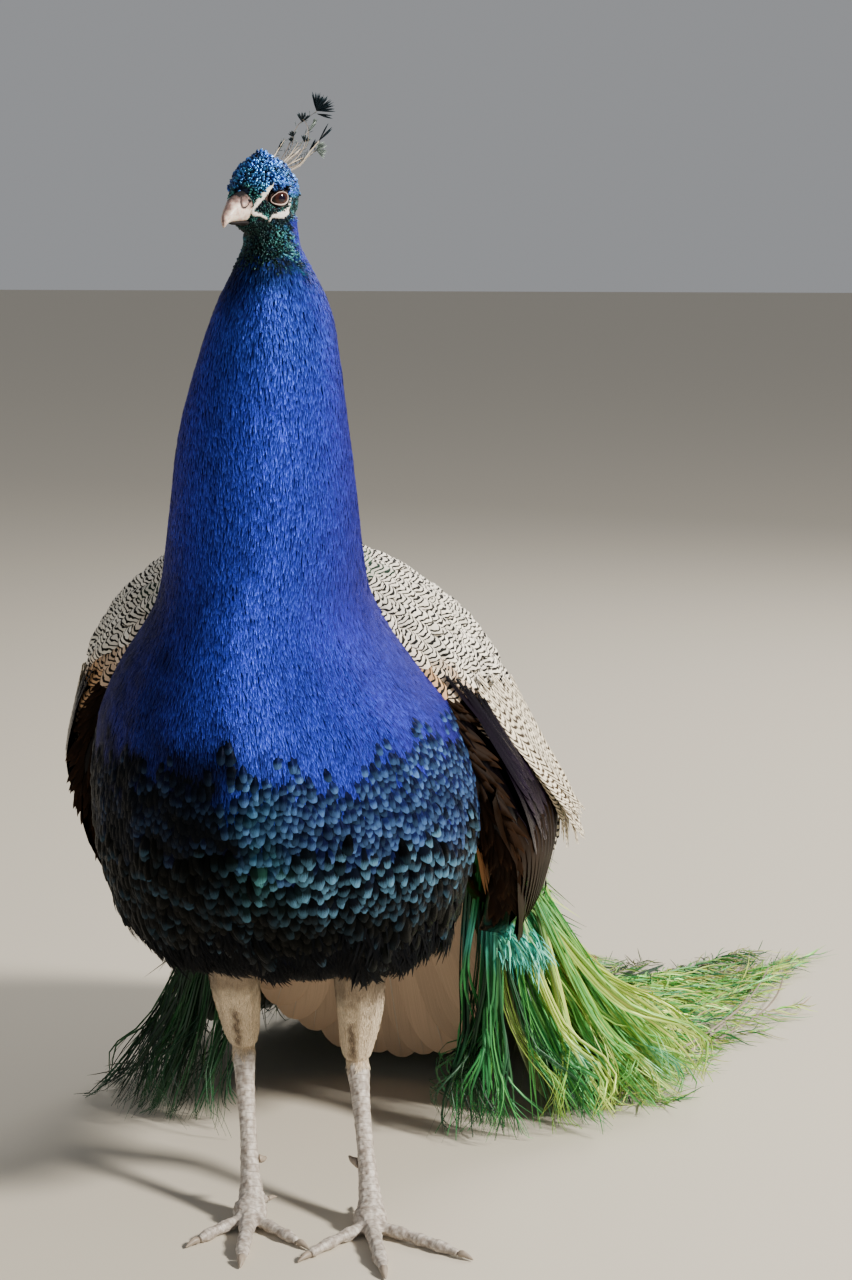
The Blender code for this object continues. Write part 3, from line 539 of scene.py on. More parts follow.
def feather_group():
    """Barbs, tone from feather to feather, and a darker root: the finish that all vanes share."""
    tree = bpy.data.node_groups.new("feather_finish", "ShaderNodeTree")
    sockets = tree.interface
    for name, kind, value in (
        ("Root", "Color", (0, 0, 0, 1)), ("Middle", "Color", (0, 0, 0, 1)), ("Tip", "Color", (0, 0, 0, 1)),
        ("Root End", "Float", 0.3), ("Tip Start", "Float", 0.7), ("Tone", "Float", 0.3),
        ("Barbs", "Float", 60.0), ("Slant", "Float", 0.5), ("Blend", "Float", 8.0),
    ):
        sockets.new_socket(name, in_out="INPUT", socket_type="NodeSocket" + kind).default_value = value
    sockets.new_socket("Colour", in_out="OUTPUT", socket_type="NodeSocketColor")
    sockets.new_socket("Ridges", in_out="OUTPUT", socket_type="NodeSocketFloat")
    node, maths = nodes_in(tree)
    given = node("NodeGroupInput").outputs
    spot = on_vane(node)
    off = maths("ABSOLUTE", maths("SUBTRACT", spot[0], 0.5))
    barb = maths("SUBTRACT", spot[1], maths("MULTIPLY", off, given["Slant"]))
    barb = maths("MULTIPLY", barb, given["Barbs"])
    flow = node("ShaderNodeCombineXYZ", (0, barb), (1, maths("MULTIPLY", off, 3.0)))
    grain = node("ShaderNodeTexNoise", ("Vector", flow.outputs[0]), ("Scale", 1.0), ("Detail", 2.0),
                 noise_dimensions="2D")
    ridge = maths("SINE", maths("MULTIPLY", barb, math.tau))
    ridge = maths("MULTIPLY_ADD", ridge, 0.35, grain.outputs[0])
    ragged = maths("MULTIPLY_ADD", maths("SUBTRACT", grain.outputs[0], 0.5), 0.45, spot[1])
    root = maths("DIVIDE", ragged, given["Root End"], clamp=True)
    tip = maths("MULTIPLY", maths("SUBTRACT", ragged, given["Tip Start"]), given["Blend"], clamp=True)
    colour = blended(node, tip, blended(node, root, given["Root"], given["Middle"]), given["Tip"])
    tone = maths("MULTIPLY_ADD", maths("SUBTRACT", mark_of(node, "tint"), 0.5), given["Tone"], 1.0)
    tone = maths("MULTIPLY", tone, maths("MULTIPLY_ADD", ridge, 0.35, 0.82))
    toned = node("ShaderNodeHueSaturation", ("Color", colour), ("Value", tone))
    node("NodeGroupOutput", ("Colour", toned.outputs[0]), ("Ridges", ridge))
    return tree


FEATHER = feather_group()


def feather_material(name, root, middle, tip, metallic, roughness, ends=(0.3, 0.75), tone=0.5,
                     barbs=40.0, slant=0.5, green=None, bump=0.3, edge=None,
                     dark_mark_tone=(0.003, 0.004, 0.006), gloss=0.3, soft=8.0):
    """A feather's finish. Where the hide is marked green, its colours go over to that green, and
    where it is marked dark, to its dark tone, which is the plumage's own darker colour on some
    tracts and painted shade on others. An edge colour is what shows where it is seen aslant."""
    made, node, _, shader = new_look(name, roughness, Metallic=metallic, Specular_IOR_Level=gloss)
    finish = node("ShaderNodeGroup", node_tree=FEATHER)
    for socket, value in (
        ("Root", (*root, 1)), ("Middle", (*middle, 1)), ("Tip", (*tip, 1)), ("Root End", ends[0]),
        ("Tip Start", ends[1]), ("Tone", tone), ("Barbs", barbs), ("Slant", slant), ("Blend", soft),
    ):
        finish.inputs[socket].default_value = value
    colour = finish.outputs["Colour"]
    if green is not None:
        greenness = mark_of(node, "green")
        for socket, own, share in (("Middle", middle, 0.35), ("Tip", tip, 1.0)):
            shown = blended(node, greenness, own, [share * part for part in green])
            made.node_tree.links.new(shown, finish.inputs[socket])
    if edge is not None:
        aslant = node("ShaderNodeLayerWeight", ("Blend", 0.35)).outputs["Facing"]
        colour = blended(node, aslant, colour, edge)
    colour = blended(node, mark_of(node, "dark"), colour, dark_mark_tone)
    finish_look(shader, node, colour, finish.outputs["Ridges"], bump, 0.0004)
    return made


# The hide itself, seen only in chinks between feathers, is in the dark tone of their roots:
# painted shade that makes the chinks read as shadow.
hide_look, node, _, shader = new_look("hide", 0.9, Specular_IOR_Level=0.05)
chink_shade = blended(node, mark_of(node, "dark"), (0.006, 0.010, 0.10), (0.004, 0.005, 0.007))
hide_look.node_tree.links.new(chink_shade, shader.inputs["Base Color"])
trunk_mesh.materials.append(hide_look)
trunk_hide = object_of("trunk_hide", trunk_mesh)


BIRD_HEIGHT = 0.94


def vanes_along(name, paths, across, halves, material, slot, columns=2, cup=0.0, marks=(), replaced=()):
    """One piece made of vanes that follow given paths: path points and ways across them are
    (vane, step, xyz) arrays, half widths are (vane, step). Cup raises the edges, in half widths."""
    count, steps = halves.shape
    along = np.gradient(paths, axis=1)
    across = across - along * ((across * along).sum(2) / np.maximum((along * along).sum(2), 1e-12))[..., None]
    across = unit(across)
    up = unit(np.cross(across, along))
    spread = np.linspace(-1, 1, columns)
    points = (
        paths[:, :, None]
        + across[:, :, None] * (halves[..., None] * spread)[..., None]
        + up[:, :, None] * (halves[..., None] * cup * (spread**2))[..., None]
    )
    grid = np.arange(count * steps * columns).reshape(count, steps, columns)
    faces = [grid[:, :-1, :-1], grid[:, :-1, 1:], grid[:, 1:, 1:], grid[:, 1:, :-1]]
    faces = np.stack(faces, -1).reshape(-1, 4)
    mesh = bpy.data.meshes.new(name)
    mesh.vertices.add(points.size // 3)
    mesh.vertices.foreach_set("co", points.ravel().astype(np.float32))
    mesh.loops.add(faces.size)
    mesh.loops.foreach_set("vertex_index", faces.ravel().astype(np.int32))
    mesh.polygons.add(len(faces))
    mesh.polygons.foreach_set("loop_start", np.arange(0, faces.size, 4, dtype=np.int32))
    mesh.update(calc_edges=True)
    own = np.zeros((count, steps, columns, 2))
    own[..., 0] = 0.5 + spread / 2
    own[..., 1] = np.linspace(0, 1, steps)[None, :, None]
    root = paths[:, 0] - FEET
    turn = np.arctan2(root[:, 0], root[:, 1]) * MAP_TURN / math.tau + 0.5
    spot = np.stack([turn, root[:, 2] / BIRD_HEIGHT], 1)
    for layer, value in (("vane", own), ("OFBake", spot[:, None, None] + (own - 0.5) * PATCH)):
        made = mesh.uv_layers.new(name=layer)
        made.data.foreach_set("uv", value.reshape(-1, 2)[faces.ravel()].ravel().astype(np.float32))
    random = np.random.default_rng(len(name) + count)
    for mark, value in {"tint": random.random(count), **dict(marks)}.items():
        value = np.broadcast_to(np.asarray(value, float).reshape(count, -1), (count, steps))
        put(mesh, mark, np.repeat(value.ravel(), columns))
    mesh.materials.append(material)
    mesh.shade_smooth()
    settle(name, mesh, slot, replaced)


# Neck, breast, belly and back: hair-fine royal-blue feathers with a metallic sheen lie down the
# neck in soft waves, broaden on the breast and turn to dark scales with blue-green fringes. The
# belly's are loose and black, those before the tail dun, and the mantle's gold-green.
hair = vane("hair_vane", (0.5, 1.0, 0.8, 0.15), columns=2, cup=0.0, bow=0.06)
leaf = vane("leaf_vane", (0.3, 0.8, 1.0, 0.95, 0.65, 0.2), columns=3, cup=0.25, bow=0.08)
shell = vane("shell_vane", (0.4, 0.8, 1.0, 1.0, 0.85, 0.45), columns=5, cup=0.18, bow=0.10, notch=-0.06)

royal = feather_material(
    "royal_blue", (0.004, 0.009, 0.12), (0.014, 0.021, 0.28), (0.046, 0.088, 0.64), metallic=0.5,
    roughness=0.42, ends=(0.35, 0.55), tone=0.9, barbs=7, slant=5.0, green=(0.020, 0.15, 0.24), bump=0.4,
    edge=(0.032, 0.020, 0.34), gloss=0.05, soft=3.0,
)
edged = feather_material(
    "edged_blue", (0.003, 0.005, 0.03), (0.006, 0.010, 0.060), (0.068, 0.150, 0.36), metallic=0.5,
    roughness=0.38, ends=(0.5, 0.56), tone=1.6, barbs=16, slant=3.0, green=(0.030, 0.19, 0.16),
    gloss=0.02, soft=3.6,
)
fringed = feather_material(
    "fringed_blue", (0.001, 0.002, 0.005), (0.003, 0.005, 0.012), (0.085, 0.210, 0.34), metallic=0.5,
    roughness=0.34, ends=(0.5, 0.62), tone=2.0, barbs=18, slant=3.0, green=(0.060, 0.28, 0.20),
    gloss=0.02, soft=4.0, dark_mark_tone=(0.0015, 0.002, 0.002),
)
loose_black = feather_material(
    "loose_black", (0.002, 0.002, 0.002), (0.008, 0.006, 0.005), (0.028, 0.024, 0.016), metallic=0.2,
    roughness=0.5, ends=(0.3, 0.8), tone=1.7, barbs=8, slant=4.0, gloss=0.02,
)
dun_fluff = feather_material(
    "dun_fluff", (0.10, 0.075, 0.055), (0.16, 0.12, 0.09), (0.22, 0.17, 0.125), metallic=0.0,
    roughness=0.8, ends=(0.3, 0.7), tone=0.6, barbs=8, slant=4.0,
)
gold_green = feather_material(
    "gold_green", (0.004, 0.008, 0.006), (0.014, 0.050, 0.022), (0.004, 0.012, 0.010), metallic=0.6,
    roughness=0.36, ends=(0.4, 0.84), tone=0.6, barbs=14, slant=2.0,
)

for piece, tract, shape, finish, spacing, length, width, lift, stray, slot, seed in (
    ("neck_plumage", "neck", hair, royal, 0.00142, 0.0088, 0.0014, 3.5, 9, "blue_feather", 2),
    ("breast_plumage", "breast", hair, royal, 0.00138, 0.0088, 0.00136, 3.5, 9, "blue_feather", 3),
    ("collar_plumage", "collar", hair, royal, 0.0013, 0.0070, 0.0013, 6, 14, "blue_feather", 7),
    ("scallop_plumage", "scallops", shell, edged, 0.0045, 0.0150, 0.0100, 5, 9, "blue_feather", 4),
    ("scale_plumage", "scales", shell, fringed, 0.0060, 0.0210, 0.0125, 7, 14, "blue_feather", 5),
    ("belly_plumage", "belly", hair, loose_black, 0.0021, 0.0230, 0.0019, 9, 22, "black_feather", 6),
    ("vent_fluff", "vent", leaf, dun_fluff, 0.0050, 0.0300, 0.0065, 16, 24, "tail_feather", 7),
    ("mantle_plumage", "mantle", shell, gold_green, 0.0085, 0.0270, 0.0180, 7, 7, "green_feather", 8),
):
    strew(piece, trunk_hide, tract, shape, finish, spacing, length, width, lift, stray, slot, seed)

# Wings: barred cream and black scapulars over the back, glossy dark coverts in front of
# them, long brown-black secondaries down to the wing's tip, and buff primaries inside.
def barred_material(name, pale, black, rust, bars):
    """Cream vanes crossed by wavy black bars, rustier where the hide is marked bright."""
    made, node, maths, shader = new_look(name, 0.62, Specular_IOR_Level=0.12)
    spot, tint = on_vane(node), mark_of(node, "tint")
    off = maths("ABSOLUTE", maths("SUBTRACT", spot[0], 0.5))
    shift = node("ShaderNodeCombineXYZ", (0, maths("MULTIPLY", spot[0], 3.0)),
                 (1, maths("MULTIPLY", spot[1], 4.0)), (2, maths("MULTIPLY", tint, 40.0)))
    wander = noise_of(node, 1.3, 1.0, shift.outputs[0])
    phase = maths("MULTIPLY_ADD", wander, 1.2, maths("MULTIPLY", spot[1], bars))
    phase = maths("ADD", phase, maths("MULTIPLY", maths("MULTIPLY", off, off), 7.0))
    wave = maths("SINE", maths("MULTIPLY", phase, math.tau))
    ink = maths("MULTIPLY_ADD", wave, 4.0, -0.5, clamp=True)
    crossed = blended(node, ink, blended(node, mark_of(node, "bright"), pale, rust), black)
    sheen = blended(node, maths("MULTIPLY", mark_of(node, "green"), 0.8), crossed, (0.03, 0.12, 0.07))
    tone = maths("MULTIPLY_ADD", tint, 0.35, 0.8)
    mixed_tone = node("ShaderNodeHueSaturation", ("Color", sheen), ("Value", tone))
    barbs = maths("SINE", maths("MULTIPLY", maths("SUBTRACT", spot[1], maths("MULTIPLY", off, 1.6)), 220.0))
    finish_look(shader, node, mixed_tone.outputs[0], barbs, 0.25, 0.0003)
    return made


barred = barred_material(
    "barred_feather", pale=(0.90, 0.84, 0.72), black=(0.008, 0.007, 0.006), rust=(0.60, 0.36, 0.19),
    bars=5.6,
)
long_barred = barred_material(
    "long_barred_feather", pale=(0.90, 0.80, 0.62), black=(0.050, 0.035, 0.022), rust=(0.46, 0.22, 0.10),
    bars=19.0,
)
glossy_dark = feather_material(
    "glossy_dark", (0.003, 0.002, 0.003), (0.006, 0.003, 0.008), (0.010, 0.004, 0.016), metallic=0.3,
    roughness=0.20, ends=(0.3, 0.75), tone=0.5, barbs=12, slant=5.0, bump=0.2, gloss=0.12,
    dark_mark_tone=(0.24, 0.21, 0.17),
)
brown_black = feather_material(
    "brown_black", (0.006, 0.003, 0.0015), (0.012, 0.006, 0.003), (0.020, 0.009, 0.004), metallic=0.0,
    roughness=0.50, ends=(0.3, 0.8), tone=0.7, barbs=9, slant=5.0, bump=0.1, gloss=0.03,
)
chestnut = feather_material(
    "chestnut", (0.44, 0.17, 0.05), (0.64, 0.30, 0.11), (0.46, 0.22, 0.09), metallic=0.0, roughness=0.5,
    ends=(0.3, 0.8), tone=0.5, barbs=9, slant=5.0, bump=0.1,
)
# Cuts through the left wing: height, front, rear, and how far out its outer and inner sides lie
WING_SLICES = [
    (0.580, 0.056, 0.082, 0.044, 0.020), (0.562, 0.042, 0.128, 0.086, 0.008),
    (0.540, 0.036, 0.172, 0.118, 0.008), (0.510, 0.032, 0.220, 0.150, 0.028),
    (0.480, 0.030, 0.252, 0.170, 0.058), (0.450, 0.030, 0.270, 0.181, 0.088),
    (0.420, 0.030, 0.282, 0.190, 0.114), (0.380, 0.034, 0.292, 0.203, 0.136),
    (0.340, 0.045, 0.298, 0.207, 0.152), (0.300, 0.068, 0.298, 0.200, 0.160),
    (0.265, 0.105, 0.292, 0.190, 0.161), (0.235, 0.142, 0.276, 0.181, 0.158),
    (0.210, 0.172, 0.252, 0.171, 0.153), (0.197, 0.196, 0.224, 0.163, 0.151),
]


def smooth_rows(rows, count):
    """The rows made into count rows, on a curve that runs through all of them."""
    rows = np.array(rows, float)
    padded = np.concatenate([[2 * rows[0] - rows[1]], rows, [2 * rows[-1] - rows[-2]]])
    made = []
    for place in np.linspace(0, len(rows) - 1, count):
        step = min(int(place), len(rows) - 2)
        share = place - step
        a, b, c, d = padded[step : step + 4]
        bend = (2 * a - 5 * b + 4 * c - d) * share**2 + (3 * b - a - 3 * c + d) * share**3
        made.append(b + 0.5 * ((c - a) * share + bend))
    return np.array(made)


def lean(heights):
    """How far the bird's middle stands to its right at a height."""
    return np.interp(heights, (0.22, 0.30, 0.38, 0.50), (-0.014, -0.016, -0.037, -0.049))


def along_lines(starts, ends, steps, bend):
    """Side-view lines (y, z) from starts to ends, bent forward in the middle by bend."""
    share = np.linspace(0, 1, steps)[None, :, None]
    lines = starts[:, None] * (1 - share) + ends[:, None] * share
    way = unit(ends - starts)
    aside = np.stack([-way[:, 1], way[:, 0]], 1)
    return lines - aside[:, None] * np.sin(math.pi * share) * bend


def across_wing(paths, sign):
    """The way across each line in the plane of the wing's side."""
    return unit(np.cross(np.gradient(paths, axis=1), (sign, 0, 0)))


def over_bed(tree, lines, sign, offsets):
    """The lines laid on the outer side of a wing's bed, with the way across each."""
    paths = np.zeros((*lines.shape[:2], 3))
    for i, line in enumerate(lines):
        for j, (y, z) in enumerate(line):
            start = Vector((sign * 0.5, y, z)) + Vector(FEET)
            spot = tree.ray_cast(start, Vector((-sign, 0, 0)))[0]
            if spot is None:
                spot = tree.find_nearest(Vector((sign * 0.20, y, z)) + Vector(FEET))[0]
            paths[i, j] = (spot.x - FEET[0], y, z)
    out = sign * paths[:, :, 0]
    for _ in range(3):
        out[:, 1:-1] = (out[:, :-2] + 2 * out[:, 1:-1] + out[:, 2:]) / 4
    paths[:, :, 0] = sign * (out + offsets)
    return paths + FEET, across_wing(paths, sign)


def tube(name, rings, flip=False):
    """A closed mesh through rings of points, with a face over each end."""
    count = len(rings[0])
    faces = []
    for start in range(0, (len(rings) - 1) * count, count):
        for j in range(count):
            a, b = start + j, start + (j + 1) % count
            faces.append((b, a, a + count, b + count) if flip else (a, b, b + count, a + count))
    last = (len(rings) - 1) * count
    ends = [tuple(reversed(range(count))), tuple(range(last, last + count))]
    faces += [tuple(reversed(end)) for end in ends] if flip else ends
    mesh = bpy.data.meshes.new(name)
    mesh.from_pydata([tuple(point) for ring in rings for point in ring], [], faces)
    return mesh


def wing_bed(sign):
    """A folded wing's closed hide; its inner side runs on into the body."""
    rows = smooth_rows(WING_SLICES, 90)
    turn = np.linspace(0, math.tau, 72, endpoint=False)
    level, front, rear, outer, inner = rows.T[..., None]
    base = inner + (outer - inner) * 0.4
    bulge = np.abs(np.sin(turn)) ** 0.8
    reach = np.where(np.sin(turn) > 0, outer - 0.005 - base, inner - base - 0.020) * (1 + 0.07 * np.cos(turn))
    rings = np.stack([
        lean(level) + sign * (base + reach * bulge),
        (front + rear) / 2 + ((rear - front) / 2 - 0.002) * np.cos(turn),
        level + 0 * turn,
    ], -1)
    return tube("wing_bed", rings + FEET, flip=sign < 0)


for which, sign in (("left", 1), ("right", -1)):
    bed_mesh = wing_bed(sign)
    points, normals = numbers(bed_mesh)
    told = points - FEET
    from_barred = (0.60 * (told[:, 1] - 0.030) + 0.68 * (told[:, 2] - 0.470)) / 0.907
    down_wing = 0.62 * (told[:, 1] - 0.03) + 0.78 * (0.58 - told[:, 2])
    ragged = 0.006 * waves(told, 0.03, 21)
    is_barred = ease(-0.004, 0.004, from_barred + ragged)
    lie = np.tile((0, 0.50, -0.8), (len(told), 1))
    lie[:, 0] = 0.35 * sign * ease(0.2, 0, down_wing)
    put(bed_mesh, "barred", is_barred)
    put(bed_mesh, "grow", 0.78 + 0.45 * ease(0.02, 0.32, down_wing))
    put(bed_mesh, "bright", ease(0.034, 0.008, from_barred + ragged * 2) * ease(0.085, 0.055, told[:, 1]))
    put(bed_mesh, "green", ease(0.040, 0.012, down_wing + 2 * ragged) * 0.8)
    put(bed_mesh, "dark", is_barred)
    put(bed_mesh, "front", ease(0.3, 0.6, -normals[:, 1]) * (1 - is_barred) * ease(0.236, 0.262, told[:, 2]))
    put(bed_mesh, "lie", lie, "FLOAT_VECTOR")
    bed_mesh.materials.append(glossy_dark)
    bed_mesh.shade_smooth()
    nodes = [part + which for part in ("scapulars_", "wing_coverts_", "flight_feathers_", "primaries_")]
    bed = settle("wing_bed_" + which, bed_mesh, "wing_covert", nodes)
    strew(
        "scapular_vanes_" + which, bed, "barred", shell, barred, spacing=0.0098, length=0.0390,
        width=0.0250, lift=5, stray=7, slot="barred_feather", seed=31,
    )
    strew(
        "front_vanes_" + which, bed, "front", leaf, brown_black, spacing=0.0055, length=0.0300,
        width=0.0080, lift=8, stray=12, slot="wing_covert", seed=35,
    )

    told_bed = bmesh.new()
    told_bed.from_mesh(bed_mesh)
    tree = BVHTree.FromBMesh(told_bed)
    told_bed.free()
    share = np.linspace(0, 1, 10)
    starts = np.stack([0.036 + 0.090 * share, 0.366 + 0.034 * share], 1)
    ends = np.stack([0.176 + 0.068 * share, 0.199 + 0.022 * share**1.4], 1)
    lines = along_lines(starts, ends, 14, 0.010)
    t = np.linspace(0, 1, 14)
    over = (0.0045 + 0.0010 * np.arange(10)[:, None]) * np.interp(t, (0, 0.3), (-1, 1))
    paths, across = over_bed(tree, lines, sign, over)
    across[:, :, 0] -= 0.10 * sign
    shape = np.interp(t, (0, 0.15, 0.75, 0.90, 0.97, 1), (0.5, 0.85, 1.0, 0.85, 0.5, 0.12))
    vanes_along(
        "secondaries_" + which, paths, across, np.tile(0.0190 * shape, (10, 1)), brown_black,
        "flight_feather", columns=7, cup=-0.10,
    )
    shafts = np.tile(np.interp(t, (0, 1), (0.0008, 0.0003)), (10, 1))
    vanes_along(
        "secondary_shafts_" + which, paths + (sign * 0.0012, 0, 0), across, shafts, glossy_dark,
        "flight_feather", columns=3, cup=-0.8,
    )

    share, row = np.tile(np.linspace(0, 1, 15), 5), np.repeat(np.arange(5), 15)
    jitter = np.random.default_rng(34).normal(0, 0.0025, (75, 4))
    starts = np.stack([0.045 + 0.086 * share + 0.009 * row, 0.468 - 0.075 * share - 0.020 * row], 1)
    starts = starts + jitter[:, :2]
    ends = starts + np.stack([0.036 + 0.006 * share, -0.082 - 0.008 * row], 1) + jitter[:, 2:]
    lines = along_lines(starts, ends, 10, 0.004)
    over = 0.0105 - 0.0013 * row + 0.0003 * np.arange(75) % 0.0009
    paths, across = over_bed(tree, lines, sign, over[:, None])
    shape = np.interp(np.linspace(0, 1, 10), (0, 0.2, 0.75, 0.92, 1), (0.5, 0.9, 1.0, 0.7, 0.2))
    vanes_along(
        "covert_vanes_" + which, paths, across, np.tile(0.0064 * shape, (75, 1)), glossy_dark,
        "wing_covert", columns=5, cup=-0.2,
    )

    # Long barred tertials hang loosely over the dark quills, free of the wing at their tips
    share = np.linspace(0, 1, 50)
    jitter = np.random.default_rng(33).normal(0, 1, (50, 2))
    starts = np.stack([0.076 + 0.144 * share, 0.446 - 0.024 * share + 0.008 * jitter[:, 0]], 1)
    ends = np.stack([0.172 + 0.108 * share, 0.322 - 0.058 * share + 0.012 * jitter[:, 1]], 1)
    lines = along_lines(starts, ends, 10, 0.008)
    free = np.linspace(0, 1, 10)[None, :] ** 2 * (0.016 + 0.006 * jitter[:, :1])
    paths, across = over_bed(tree, lines, sign, 0.0115 + free)
    across[:, :, 1] += 0.10 * jitter[:, 1:]
    shape = np.interp(np.linspace(0, 1, 10), (0, 0.3, 0.8, 0.95, 1), (0.6, 1.0, 0.85, 0.5, 0.15))
    vanes_along(
        "tertials_" + which, paths, across, np.tile(0.0066 * shape, (50, 1)), long_barred,
        "barred_feather", columns=5, cup=-0.25,
    )

    share = np.linspace(0, 1, 9)
    starts = np.stack([0.050 + 0.030 * share, 0.430 + 0 * share], 1)
    ends = np.stack([0.108 + 0.080 * share, 0.258 - 0.004 * share], 1)
    lines = along_lines(starts, ends, 12, 0.016)
    out = lean(lines[:, :, 1]) + sign * (0.1500 + 0.0010 * np.arange(9)[:, None])
    paths = np.concatenate([out[:, :, None], lines], 2)
    across = across_wing(paths, sign)
    across[:, :, 0] += 0.45 * sign
    shape = np.interp(np.linspace(0, 1, 12), (0, 0.2, 0.7, 0.9, 1), (0.6, 0.9, 1.0, 0.7, 0.1))
    vanes_along(
        "primary_vanes_" + which, paths + FEET, across, np.tile(0.0085 * shape, (9, 1)), chestnut,
        "chestnut_feather", columns=5, cup=-0.2,
    )

# Legs: short buff down over the thighs to the hock, then bare scaly shanks and toes with
# overlapping scutes in front, a spur behind each shank and blunt horn claws.
leg_look, node, maths, shader = new_look("leg_skin", 0.50)
place = node("ShaderNodeTexCoord").outputs["Object"]
step = maths("MULTIPLY", maths("GREATER_THAN", mark_of(node, "around"), 0.0), 0.5)
along = maths("FRACT", maths("ADD", mark_of(node, "along"), step))
edge = maths("MULTIPLY", maths("ABSOLUTE", maths("SUBTRACT", along, 0.5)), 2.0)
groove = maths("MULTIPLY", maths("SUBTRACT", edge, 0.80), 6.0, clamp=True)
cells = node("ShaderNodeTexVoronoi", ("Scale", 420.0), ("Vector", place), feature="DISTANCE_TO_EDGE")
pebble = maths("MULTIPLY", cells.outputs["Distance"], 5.0, clamp=True)
mottle, fine = noise_of(node, 210.0, 6.0, place), noise_of(node, 900.0, 3.0, place)
level = node("ShaderNodeMix", (0, mark_of(node, "front")), (2, pebble), (3, maths("SUBTRACT", 1.0, groove)),
             data_type="FLOAT").outputs[0]
horn_tones = ((0.34, (0.290, 0.240, 0.200)), (0.48, (0.420, 0.365, 0.315)), (0.64, (0.620, 0.565, 0.500)))
raised = maths("MULTIPLY_ADD", level, 0.45, 0.55)
crease = blended(node, raised, (0.200, 0.160, 0.125), ramp_of(node, mottle, horn_tones))
under = blended(node, mark_of(node, "down"), crease, (0.54, 0.41, 0.26))
finish_look(shader, node, under, maths("MULTIPLY_ADD", fine, 0.25, level), 0.45, 0.0005)

claw_look, node, _, shader = new_look("claw_horn", 0.45)
wear = noise_of(node, 160.0, 4.0)
finish_look(shader, node, blended(node, wear, (0.15, 0.115, 0.085), (0.46, 0.38, 0.30)), wear, 0.2, 0.0003)

buff_down = feather_material(
    "buff_down", (0.40, 0.29, 0.18), (0.68, 0.55, 0.385), (0.82, 0.71, 0.54), metallic=0.0, roughness=0.8,
    ends=(0.4, 0.7), tone=0.3, barbs=6, slant=4.0, dark_mark_tone=(0.10, 0.065, 0.045),
)
leg_hides = []
for which in ("left", "right"):
    leg_meshes[which].materials.append(leg_look)
    leg_hides.append(object_of("leg_hide_" + which, leg_meshes[which]))
    strew(
        "thigh_down_" + which, leg_hides[-1], "down", hair, buff_down, spacing=0.00098, length=0.0058,
        width=0.0009, lift=6, stray=12, slot="thigh_down", seed=41,
    )
    toes = [f"claw_{toe}_{which}" for toe in ("inner", "middle", "outer", "hind")]
    for name, nodes in (("claws_", toes), ("spur_horn_", ["spur_" + which])):
        mesh = remeshed(nodes, voxel=0.0007, smoothings=30)
        points, normals = numbers(mesh)
        move_points(mesh, points + normals * 0.0004)
        mesh.materials.append(claw_look)
        mesh.shade_smooth()
        settle(name + which, mesh, "claw_horn", nodes)

# Tail: a fan of broad grey-brown quills under the train, each with a pale shaft, the outer
# ones in front, and loose fluff over their roots.
TAIL_ROOT = np.array((-0.008, 0.250, 0.395))


def tail_points(angle, share, thick):
    """Points on the fan of quills, share of the way from root to tip."""
    length = (0.380 - 0.00011 * (np.degrees(angle) - 6) ** 2) * share
    x = np.sin(angle) * length
    slope = length * 0.27 * np.cos(angle)
    return TAIL_ROOT + np.stack([x, slope - 1.6 * x * x - thick, -np.cos(angle) * length], -1)


random = np.random.default_rng(51)
quill = np.arange(19)
angle = np.radians(np.linspace(-28, 31, 19))[:, None] + random.normal(0, 0.008, (19, 1))
share = (1 - (1 - np.linspace(0.0, 1.0, 20)) ** 1.6)[None, :] * 0.95 + 0.05
share = share * (1 - 0.035 * random.random((19, 1)))
bowed = angle + 0.05 * np.sin(angle) * share**2
paths = tail_points(bowed, share, 0.0014 * np.abs(quill - 8.5)[:, None]) + FEET
across = np.stack([np.cos(bowed), -0.10 * np.sign(angle) + 0 * bowed, np.sin(bowed)], -1)
ends = share[0] / share[0, -1]
rounding = np.sqrt(np.clip(1 - ((ends - 0.86) / 0.142).clip(0) ** 2, 0.004, 1))
shape = np.interp(ends, (0, 0.2, 0.55, 0.80), (0.2, 0.45, 0.88, 1.0)) * rounding
dun = feather_material(
    "dun_quill", (0.30, 0.210, 0.14), (0.52, 0.375, 0.26), (0.46, 0.320, 0.21), metallic=0.0,
    roughness=0.62, ends=(0.5, 0.85), tone=0.35, barbs=40, slant=1.6, bump=0.25,
)
pale_shaft = feather_material(
    "pale_shaft", (0.62, 0.53, 0.42), (0.60, 0.51, 0.40), (0.40, 0.32, 0.24), metallic=0.0,
    roughness=0.45, ends=(0.3, 0.8), tone=0.3, barbs=6, slant=4.0, bump=0.1, dark_mark_tone=(0.13, 0.09, 0.06),
)
vanes_along(
    "tail_quills", paths, across, np.tile(0.0290 * shape, (19, 1)), dun, "tail_feather", columns=9,
    cup=0.10, replaced=["tail"],
)
thin = np.tile(np.interp(ends, (0, 0.9, 1), (0.0014, 0.0006, 0.0002)), (19, 1))
for name, lift, cup in (("front", -0.0009, -0.8), ("back", 0.0009, 0.8)):
    vanes_along(
        "tail_shafts_" + name, paths + (0, lift, 0), across, thin, pale_shaft, "tail_feather", columns=3,
        cup=cup,
    )

